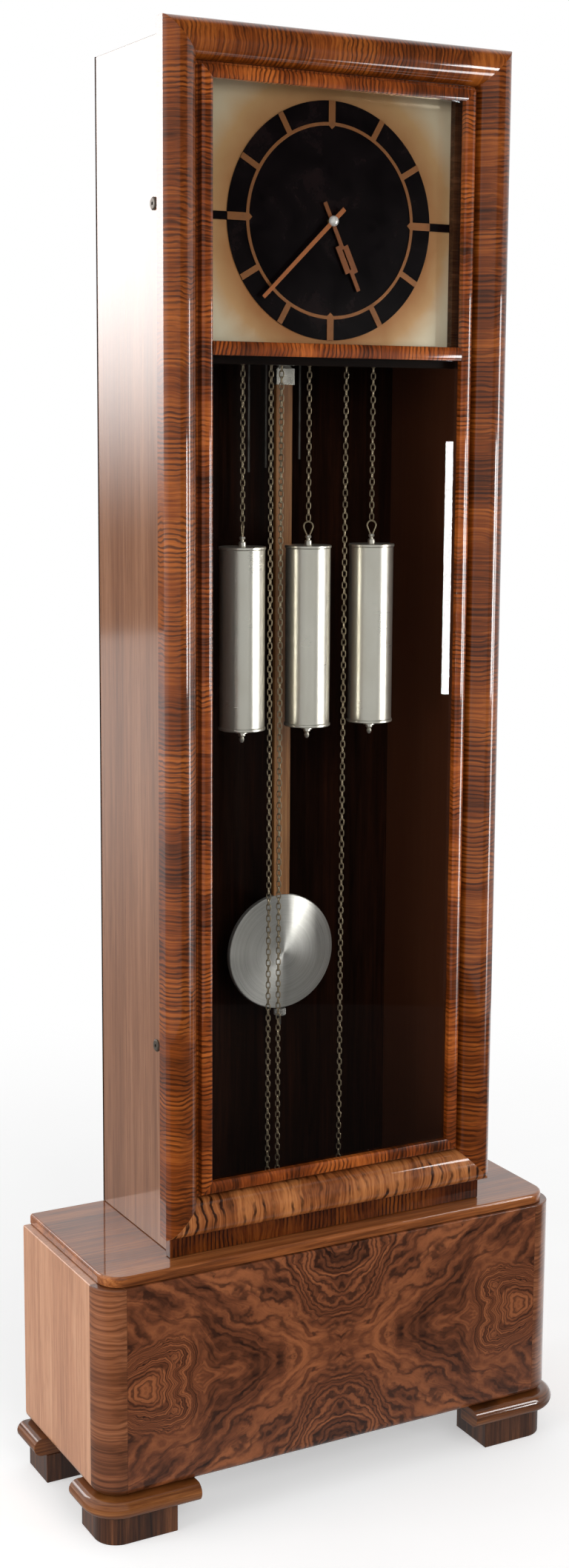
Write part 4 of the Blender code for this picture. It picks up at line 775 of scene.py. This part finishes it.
minute_copper = metal("minute_copper", (172, 102, 58), 0.30, copper_brush, (112, 62, 34), 0.5, shine=0.5)
hour_copper = metal("hour_copper", (134, 80, 46), 0.30, copper_brush, (86, 50, 28), 0.5, shine=0.5)
hand_sheet = 0.0015
hour_front, minute_front = -0.0770, -0.0802
hour_turn, minute_turn = 155.0, 225.7
stem, blade, slit, reach, tail = 0.00275, 0.0092, 0.0011, 0.098, 0.0265
blades = [(stem, 0.33), (blade, 0.33), (blade, 0.72), (stem, 0.72), (stem, 1.0), (-stem, 1.0), (-stem, 0.76),
          (-blade, 0.76), (-blade, 0.37), (-stem, 0.37)]
hour_line = [(-stem, -tail), (stem, -tail)] + [(x, reach * share) for x, share in blades]
slit_line = [(x, reach * share) for x, share in ((-slit, 0.40), (slit, 0.40), (slit, 0.69), (-slit, 0.69))]
sawn_plate("hour_blade", [hour_line, slit_line], hand_sheet, hour_front, hour_copper, "copper", "hour_hand",
           "hour_hand", turn=hour_turn)
minute_line = [(-0.0031, -0.0235), (0.0031, -0.0235), (0.0025, 0.145), (-0.0025, 0.145)]
sawn_plate("minute_blade", [minute_line], hand_sheet, minute_front, minute_copper, "copper", "minute_hand",
           "minute_hand", turn=minute_turn)
pipe_radius, pipe_front = 0.0045, hour_front - 0.0003
pipe_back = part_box("hour_hand")[1].y
pipe = [(0, pipe_front), (pipe_radius, pipe_front), (pipe_radius, pipe_back), (0, pipe_back)]
fitted("hour_pipe", lathe(pipe, (0, 0, dial_middle), "Y", 40), hinge_brass, "brass", "hour_hand", "hour_hand")
nut_nickel = metal("nut_nickel", (236, 232, 226), 0.14, (200, 200, 200), (160, 154, 146), shine=0.4)
dome_radius, dome_rise, dome_back = 0.0070, 0.0062, minute_front + 0.0012
dome = [(0, minute_front - dome_rise)]
dome += [(dome_radius * b, minute_front - dome_rise * a) for a, b in arc((0, 0), 1.0, 9, 81, 9)]
dome += [(dome_radius, minute_front + 0.0004), (0.0060, dome_back), (0, dome_back)]
fitted("hand_nut", lathe(dome, (0, 0, dial_middle), "Y", 48), nut_nickel, "nickel", "minute_hand",
       "minute_hand")


# Movement. Two brass plates on turned pillars hold the chain wheels and the pendulum's stud, behind the dial.
# It stands on a seat board across the case. Tuned rods for the strike hang from a block on the back board.

movement_brass = metal("movement_brass", (196, 158, 92), 0.32, (30, 30, 420), (128, 92, 46))
dressed(movement_brass, "movement")
dressed(plain_board, "seat_board")
rod_steel = metal("rod_steel", (110, 106, 100), 0.35, (500, 500, 60), (62, 54, 48), 0.5)
dressed(rod_steel, "chime_rods")


# Weights. Three brass tubes filled with lead, nickel plated and polished, with a lipped cap at each end.
# A turned knob on the upper cap holds a pear-shaped wire hook for the chain.
# A nut and a small drop close the lower cap.

def nickel():
    f = Finish("weight_nickel", Metallic=0.9)
    brush = f.spread(30.0, 30.0, 900.0, detail=3.0)
    cloud = f.spread(24.0, 24.0, 14.0, detail=2.0)
    face = f.over(cloud.between(0.4, 0.75) * 0.35, tone(250, 245, 232), tone(230, 222, 204))
    face = f.over(f.edges(0.0010) * 0.4, face, tone(253, 252, 248))
    return f.lay(face, brush * 0.05 + cloud * 0.10 + 0.22, cloud, 0.000006)


def bent_wire(bm, path, wire, middle, out, sides):
    """A closed loop of round wire along points, each so far out and up from its middle."""
    side = Vector((-out.y, out.x, 0.0))
    angles = [2 * math.pi * t / sides for t in range(sides)]
    outlines = []
    for k, (a, b) in enumerate(path):
        before = path[k - 1]
        after = path[(k + 1) % len(path)]
        run = Vector((after[0] - before[0], after[1] - before[1])).normalized()
        normal = out * run.y + Vector((0, 0, -run.x))
        centre = middle + out * a + Vector((0, 0, b))
        outlines.append([centre + (normal * math.cos(t) + side * math.sin(t)) * wire for t in angles])
    return skin(outlines, closed=True, bm=bm)


def facing(degrees):
    """The level direction that lies so many degrees round from x."""
    return Vector((math.cos(math.radians(degrees)), math.sin(math.radians(degrees)), 0.0))


weight_nickel = nickel()
drop_height, tube_height = 0.018, 0.250
weight_radius, weight_lip, lip_ease = 0.031, 0.0322, 0.0314
end_drop = [(0, 0.0), (0.0016, 0.0002), (0.0030, 0.0022), (0.0036, 0.0050), (0.0026, 0.0078),
            (0.0050, 0.0100), (0.0050, 0.0125), (0.0080, 0.0130), (0.0080, 0.0174), (0.0076, 0.0178)]
cap = [(lip_ease, 0.0), (weight_lip, 0.0008), (weight_lip, 0.0032), (lip_ease, 0.0040),
       (weight_radius, 0.0046)]
knob = [(0.0052, 0.0004), (0.0048, 0.0056), (0.0040, 0.0066), (0.0025, 0.0074), (0.0025, 0.0084),
        (0.0038, 0.0096), (0.0044, 0.0112), (0.0038, 0.0128), (0.0022, 0.0140), (0, 0.0144)]
hook_wire, hook_wide, hook_narrow = 0.0011, 0.0064, 0.0024
hook_low, hook_high = 0.0150, 0.0254
slope = math.degrees(math.asin((hook_wide - hook_narrow) / (hook_high - hook_low)))
hook_path = arc((0, hook_high), hook_wide, -slope, 180 + 2 * slope, 28)
hook_path += arc((0, hook_low), hook_narrow, 180 + slope, 180 - 2 * slope, 14)
chain_steel = metal("chain_steel", (164, 148, 122), 0.34, (400, 400, 400), (96, 78, 56), 0.5)
for place, hook_turn in (("left", 50), ("middle", -30), ("right", -14)):
    body = f"weight_{place}"
    low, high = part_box(body)
    x, y = (low.x + high.x) / 2, (low.y + high.y) / 2
    foot = low.z + drop_height
    top = foot + tube_height
    profile = [(r, low.z + h) for r, h in end_drop] + [(r, foot + h) for r, h in cap]
    profile += [(r, top - h) for r, h in reversed(cap)] + [(r, top + h) for r, h in knob]
    weight = lathe(profile, (x, y, 0), "Z", 96)
    fitted(f"nickel_weight_{place}", weight, weight_nickel, "nickel", body, body, crease=30)
    hook = bent_wire(None, hook_path, hook_wire, Vector((x, y, top)), facing(hook_turn), 12)
    fitted(f"wire_hook_{place}", hook, chain_steel, "nickel", body, body, crease=80)


# Chains. Oval links of hard steel wire, each a quarter turn from the next, run over the chain wheels.
# One end hangs a weight by its hook. The free tail ends in a small turned drop.

link_pitch = 0.0080
link_wire = 0.00085
link_half_width = 0.0028
link_end = arc((0, link_pitch / 2 + link_wire - link_half_width), link_half_width, 0, 180, 7)
link_path = link_end + [(a, -b) for a, b in reversed(link_end)]


def chain(strand):
    low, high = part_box(strand)
    x, y = (low.x + high.x) / 2, (low.y + high.y) / 2
    count = round((high.z - low.z) / link_pitch)
    pitch = (high.z - low.z) / count
    bm = bmesh.new()
    for n in range(count):
        middle = Vector((x, y, high.z - pitch * (n + 0.5)))
        bent_wire(bm, link_path, link_wire, middle, facing(45 + 90 * (n % 2)), 6)
    piece = fitted(f"links_{strand}", bm, chain_steel, "nickel", None, strand, crease=80)
    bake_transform(piece)


drop_neck = [(0, 0.0), (0.0020, 0.0003), (0.0024, 0.004), (0.0034, 0.0055), (0.0024, 0.007)]
ball_radius, ball_half = 0.0055, 0.0065
for place in ("left", "middle", "right"):
    tail_end = f"tail_end_{place}"
    chain(f"chain_{place}")
    chain(f"tail_{place}")
    low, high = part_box(tail_end)
    drop = [(r, high.z - down) for r, down in drop_neck]
    drop += [(ball_radius * a, low.z + ball_half * (1 - b)) for a, b in arc((0, 0), 1.0, -50, 130, 13)]
    drop.append((0, low.z))
    turned_drop = lathe(drop, ((low.x + high.x) / 2, (low.y + high.y) / 2, 0), "Z", 32)
    fitted(f"drop_{place}", turned_drop, chain_steel, "nickel", tail_end, tail_end)


# Pendulum. A flat rod of light wood sits in a nickel sleeve that hangs by a cross pin and a steel strip.
# A spun steel bob hides the rod's lower end, brushed round and round, so light stands on it in two fans.
# A milled nut on the screw below the bob sets the rate.

clip_nickel = metal("clip_nickel", (206, 204, 198), 0.22, (500, 500, 500), (120, 114, 104), 0.4)
sleeve_nickel = metal("sleeve_nickel", (168, 164, 155), 0.24, (90, 90, 40), (96, 90, 82), 0.4, shine=0.85)
rod_low, rod_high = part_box("pendulum_rod")
rod_y = (rod_low.y + rod_high.y) / 2
rod_half = (0.013, (rod_high.y - rod_low.y) / 2)
hold_low, hold_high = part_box("pendulum_fitting")
sleeve_top = hold_low.z + 0.0225
pin_height = hold_low.z + 0.0300
pin_half = hold_high.x
eye_height = hold_high.z - 0.0065


def squared(levels, closed=False):
    """A squared piece about the rod's middle, from half its width and thickness at each height."""
    corners = ((-1, -1), (1, -1), (1, 1), (-1, 1))
    return skin([[(sx * wide, rod_y + sy * thick, height) for sx, sy in corners]
                 for (wide, thick), height in levels], closed)


def hung(name, bm, finish, **settings):
    """A piece of what the pendulum hangs by."""
    fitted(name, bm, finish, "nickel", "pendulum", "pendulum_fitting", **settings)


sleeve_out, sleeve_in = (0.0144, 0.0068), (0.0133, 0.0043)
sleeve = [(sleeve_out, hold_low.z), (sleeve_out, sleeve_top), (sleeve_in, sleeve_top),
          (sleeve_in, hold_low.z)]
hung("rod_sleeve", squared(sleeve, closed=True), sleeve_nickel, edge=0.0005)
neck_foot, neck_head = (0.0132, 0.0042), (0.0085, 0.0036)
neck = [(neck_foot, sleeve_top - 0.0033), (neck_foot, sleeve_top - 0.0002), (neck_head, sleeve_top + 0.0030),
        (neck_head, pin_height)]
hung("sleeve_neck", squared(neck), sleeve_nickel, edge=0.0004, crease=25)
pin_end = [(0, 0.0), (0.0026, 0.0), (0.0042, 0.0016), (0.0042, 0.0072), (0.0030, 0.0078)]
pin = [(r, h - pin_half) for r, h in pin_end] + [(r, pin_half - h) for r, h in reversed(pin_end)]
hung("cross_pin", lathe(pin, (0, rod_y, pin_height), "X", 40), sleeve_nickel, crease=25)
strip_half, eye_radius, eye_wire = (0.0040, 0.0006), 0.0046, 0.0018
strip = squared([(strip_half, pin_height), (strip_half, eye_height - eye_radius)])
eye_path = arc((0, 0), eye_radius, 0, 348, 29)
bent_wire(strip, eye_path, eye_wire, Vector((0, rod_y, eye_height)), facing(0), 12)
hung("hanging_strip", strip, rod_steel, crease=50)
rod_wood = walnut(
    "rod_wood", (330, 330, 7), (104, 64, 34), (142, 94, 54), (168, 120, 76), 15.0, lacquer=0.4, polish=0.3)
screw_turns, thread_pitch, thread_root, thread_crest = 34, 0.001, 0.0016, 0.0020
wood_foot = rod_low.z + screw_turns * thread_pitch
wood = squared([(rod_half, wood_foot), (rod_half, rod_high.z)])
fitted("wooden_rod", wood, rod_wood, "rod_wood", "pendulum", "pendulum_rod", edge=0.0012)
screw = [(0, rod_low.z)]
for k in range(screw_turns):
    height = rod_low.z + thread_pitch * k
    screw += [(thread_root, height), (thread_crest, height + thread_pitch / 2)]
screw.append((0, wood_foot))
fitted("rating_screw", lathe(screw, (0, rod_y, 0), "Z", 20), rod_steel, "nickel", "pendulum", "pendulum_rod",
       crease=20)


def spun_steel(centre):
    f = Finish("spun_steel", Metallic=0.7, Anisotropic=0.9, Anisotropic_Rotation=0.25)
    out = apart(f.x, f.z - centre.z)
    round_lines = f.marks(out * 2600.0, f.x * 6.0, f.z * 6.0, detail=3.0)
    wide_lines = f.marks(out * 420.0, f.x * 5.0, f.z * 5.0, detail=3.0)
    haze = f.spread(30.0, 30.0, 30.0).between(0.45, 0.75)
    face = f.tones(wide_lines, (0.30, tone(190, 187, 180)), (0.70, tone(208, 205, 199)))
    face = f.over(haze * 0.15, face, tone(150, 142, 130))
    turn = f.node("Tangent", direction_type="RADIAL", axis="Y")
    f.feed(f.shader.inputs["Tangent"], turn.outputs["Tangent"])
    return f.lay(face, round_lines * 0.10 + 0.24, round_lines, 0.000004)


bob_low, bob_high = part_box("pendulum_bob")
bob_centre = (bob_low + bob_high) / 2
bob_radius = (bob_high.z - bob_low.z) / 2
bob_thick = bob_high.y - bob_low.y
rim_half = rod_half[1] + 0.0004
face = []
for k in range(25):
    r = (bob_radius - 0.0012) * math.sin(math.radians(90 * k / 24))
    face.append((r, rim_half + (bob_thick / 2 - rim_half) * (1 - (r / bob_radius) ** 2)))
face += [(bob_radius - 0.0004, rim_half - 0.0004), (bob_radius, rim_half - 0.0014)]
bob = [(r, bob_centre.y - t) for r, t in face] + [(r, bob_centre.y + t) for r, t in reversed(face)]
fitted("spun_bob", lathe(bob, (0, 0, bob_centre.z), "Y", 160), spun_steel(bob_centre), "brushed_steel",
       "pendulum", "pendulum_bob", crease=25)
nut_low, nut_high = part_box("rating_nut")
nut_centre = (nut_low + nut_high) / 2
nut_radius = (nut_high.x - nut_low.x) / 2
nut_ease = 0.0012
milled = [(0, nut_low.z), (nut_radius - nut_ease, nut_low.z), (nut_radius, nut_low.z + nut_ease),
          (nut_radius, nut_high.z - nut_ease), (nut_radius - nut_ease, nut_high.z), (0, nut_high.z)]
nut = lathe(milled, (nut_centre.x, nut_centre.y, 0), "Z", 120, flutes=30, cut=0.0006)
fitted("milled_nut", nut, clip_nickel, "nickel", "pendulum", "rating_nut")


# Floor and room. A plain white sweep under and behind the clock, out of focus white beyond it.
# The floor keeps the clock's soft shadow; far from the clock it fades into the white of the room.
# Lacquer and metal see a room that is bright behind the clock and dim before it; the panes see a dimmer one.

def glow(f, strength):
    """Plain white light of its own."""
    return f.node("Emission", {"Strength": strength}).outputs["Emission"]


bpy.context.scene.view_settings.view_transform = "Standard"
bm = bmesh.new()
bmesh.ops.create_circle(bm, cap_ends=True, segments=96, radius=2.6)
white_floor = stood("white_floor", bm)
f = Finish("white_floor")
pale = f.spread(3.0, 3.0, 1.0, detail=3.0)
f.lay(f.tones(pale, (0.3, (0.80, 0.80, 0.80)), (0.7, (0.83, 0.83, 0.83))), 0.9)
away = apart(f.x, f.y).between(0.7, 2.4)
shown = ray(f, "Camera").by("MAXIMUM", ray(f, "Transmission"))
near = f.node("AddShader", {0: f.shader.outputs["BSDF"], 1: glow(f, shown * 0.40)})
far = f.node("MixShader", {0: away * shown, 1: near.outputs["Shader"], 2: glow(f, 1.0)})
lit = f.x.between(0.42, 0.60) * f.y.between(-0.45, -0.20) * 0.8
dim = glow(f, f.y.between(-0.60, -0.15) * 0.25 + lit + 0.03)
whole = f.node("MixShader", {0: ray(f, "Glossy"), 1: far.outputs["Shader"], 2: dim})
f.show(whole.outputs["Shader"])
white_floor.data.materials.append(f.material)

room = Finish("white_room", bpy.data.worlds.new("white_room"), "Generated")
bpy.context.scene.world = room.material
left_part = room.x.between(0.08, 0.34) * -0.45 + 0.48
right_part = room.x.between(0.64, 0.74) * 0.85
before = left_part.by("MAXIMUM", right_part)
behind = room.z.between(-0.28, -0.12) * 0.72 + 0.28
caught = before + (behind - before) * room.y.between(-0.30, 0.25)
caught = caught * (ray(room, "Singular") * -0.88 + 1.0)
mirrored = ray(room, "Glossy").by("MAXIMUM", ray(room, "Transmission"))
light = (caught - 0.50) * mirrored + 0.50
light = light + light.flipped() * ray(room, "Camera")
backdrop = room.tree.nodes["Background"]
room.feed(backdrop.inputs["Color"], (1.0, 1.0, 1.0))
room.feed(backdrop.inputs["Strength"], light)


# Lamps. Soft boxes stand left of the clock, at the front by the camera and to the right, as in a studio.
# They are wide, so edges of shadow are soft. Two white cards put bright lines on the lacquer and the metal.
# None of them is in the picture.

def soft_box(name, place, aim, width, height, watts, glossy=True):
    lamp = bpy.data.lights.new(name, "AREA")
    lamp.shape = "RECTANGLE"
    lamp.size = width
    lamp.size_y = height
    lamp.energy = watts
    held = bpy.data.objects.new(name, lamp)
    held.location = place
    held.rotation_euler = (Vector(aim) - Vector(place)).to_track_quat("-Z", "Y").to_euler()
    held.visible_camera = False
    held.visible_glossy = glossy
    bpy.context.scene.collection.objects.link(held)


soft_box("left_box", (-3.1, -0.1, 0.95), (0.0, 0.0, 1.0), width=2.2, height=1.5, watts=60.0, glossy=False)
soft_box("front_box", (-0.5, -3.8, 2.6), (0.0, 0.0, 0.9), width=2.2, height=1.8, watts=56.0, glossy=False)
soft_box("right_box", (3.17, -4.30, 0.975), (0.1, -0.1, 0.97), width=0.45, height=0.976, watts=30.0)


def white_card(name, place, turn, half_width, half_height, dark, full, shine):
    """A lit white card that only shows in lacquer and metal; it fades out towards its foot."""
    stand = Matrix.Translation(place) @ Matrix.Rotation(math.radians(turn), 4, "Z")
    stand = stand @ Matrix.Rotation(math.pi / 2, 4, "X")
    stand = stand @ Matrix.Diagonal((half_width, half_height, 1.0, 1.0))
    bm = bmesh.new()
    bmesh.ops.create_grid(bm, x_segments=1, y_segments=1, size=1.0, matrix=stand)
    card = stood(name, bm)
    card.visible_camera = False
    card.visible_diffuse = False
    card.visible_shadow = False
    f = Finish(name)
    f.show(glow(f, f.z.between(dark, full) * shine))
    card.data.materials.append(f.material)


white_card("back_card", (-1.7, 3.1, 2.2), turn=0.0, half_width=0.45, half_height=1.3,
           dark=1.15, full=2.05, shine=7.0)
white_card("right_card", (1.05, -0.95, 0.90), turn=48.0, half_width=0.09, half_height=0.85,
           dark=0.15, full=0.75, shine=14.0)


# Camera. It stands to the left of the clock, a little lower than the crossbar, and looks a little down.
# The picture's middle lies a little right of the lens's own axis and below it.

picture_width, picture_height = 768, 2117
axis_x, axis_y = 361.78, 1022.83
focal_length = 2795.49
film = 36.0
yaw, pitch, roll = 0.4919, 0.1551, 0.0048
camera = bpy.data.objects.new("camera", bpy.data.cameras.new("camera"))
bpy.context.scene.collection.objects.link(camera)
bpy.context.scene.camera = camera
camera.matrix_world = Matrix.Translation((-1.3980, -2.5133, 1.4886))
for turn, axis in ((-yaw, "Z"), (math.pi / 2 - pitch, "X"), (roll, "Z")):
    camera.matrix_world = camera.matrix_world @ Matrix.Rotation(turn, 4, axis)
camera.data.sensor_width = film
camera.data.lens = film * focal_length / picture_height
camera.data.shift_x = (picture_width / 2 - axis_x) / picture_height
camera.data.shift_y = (axis_y - picture_height / 2) / picture_height
camera.data.clip_end = 60.0
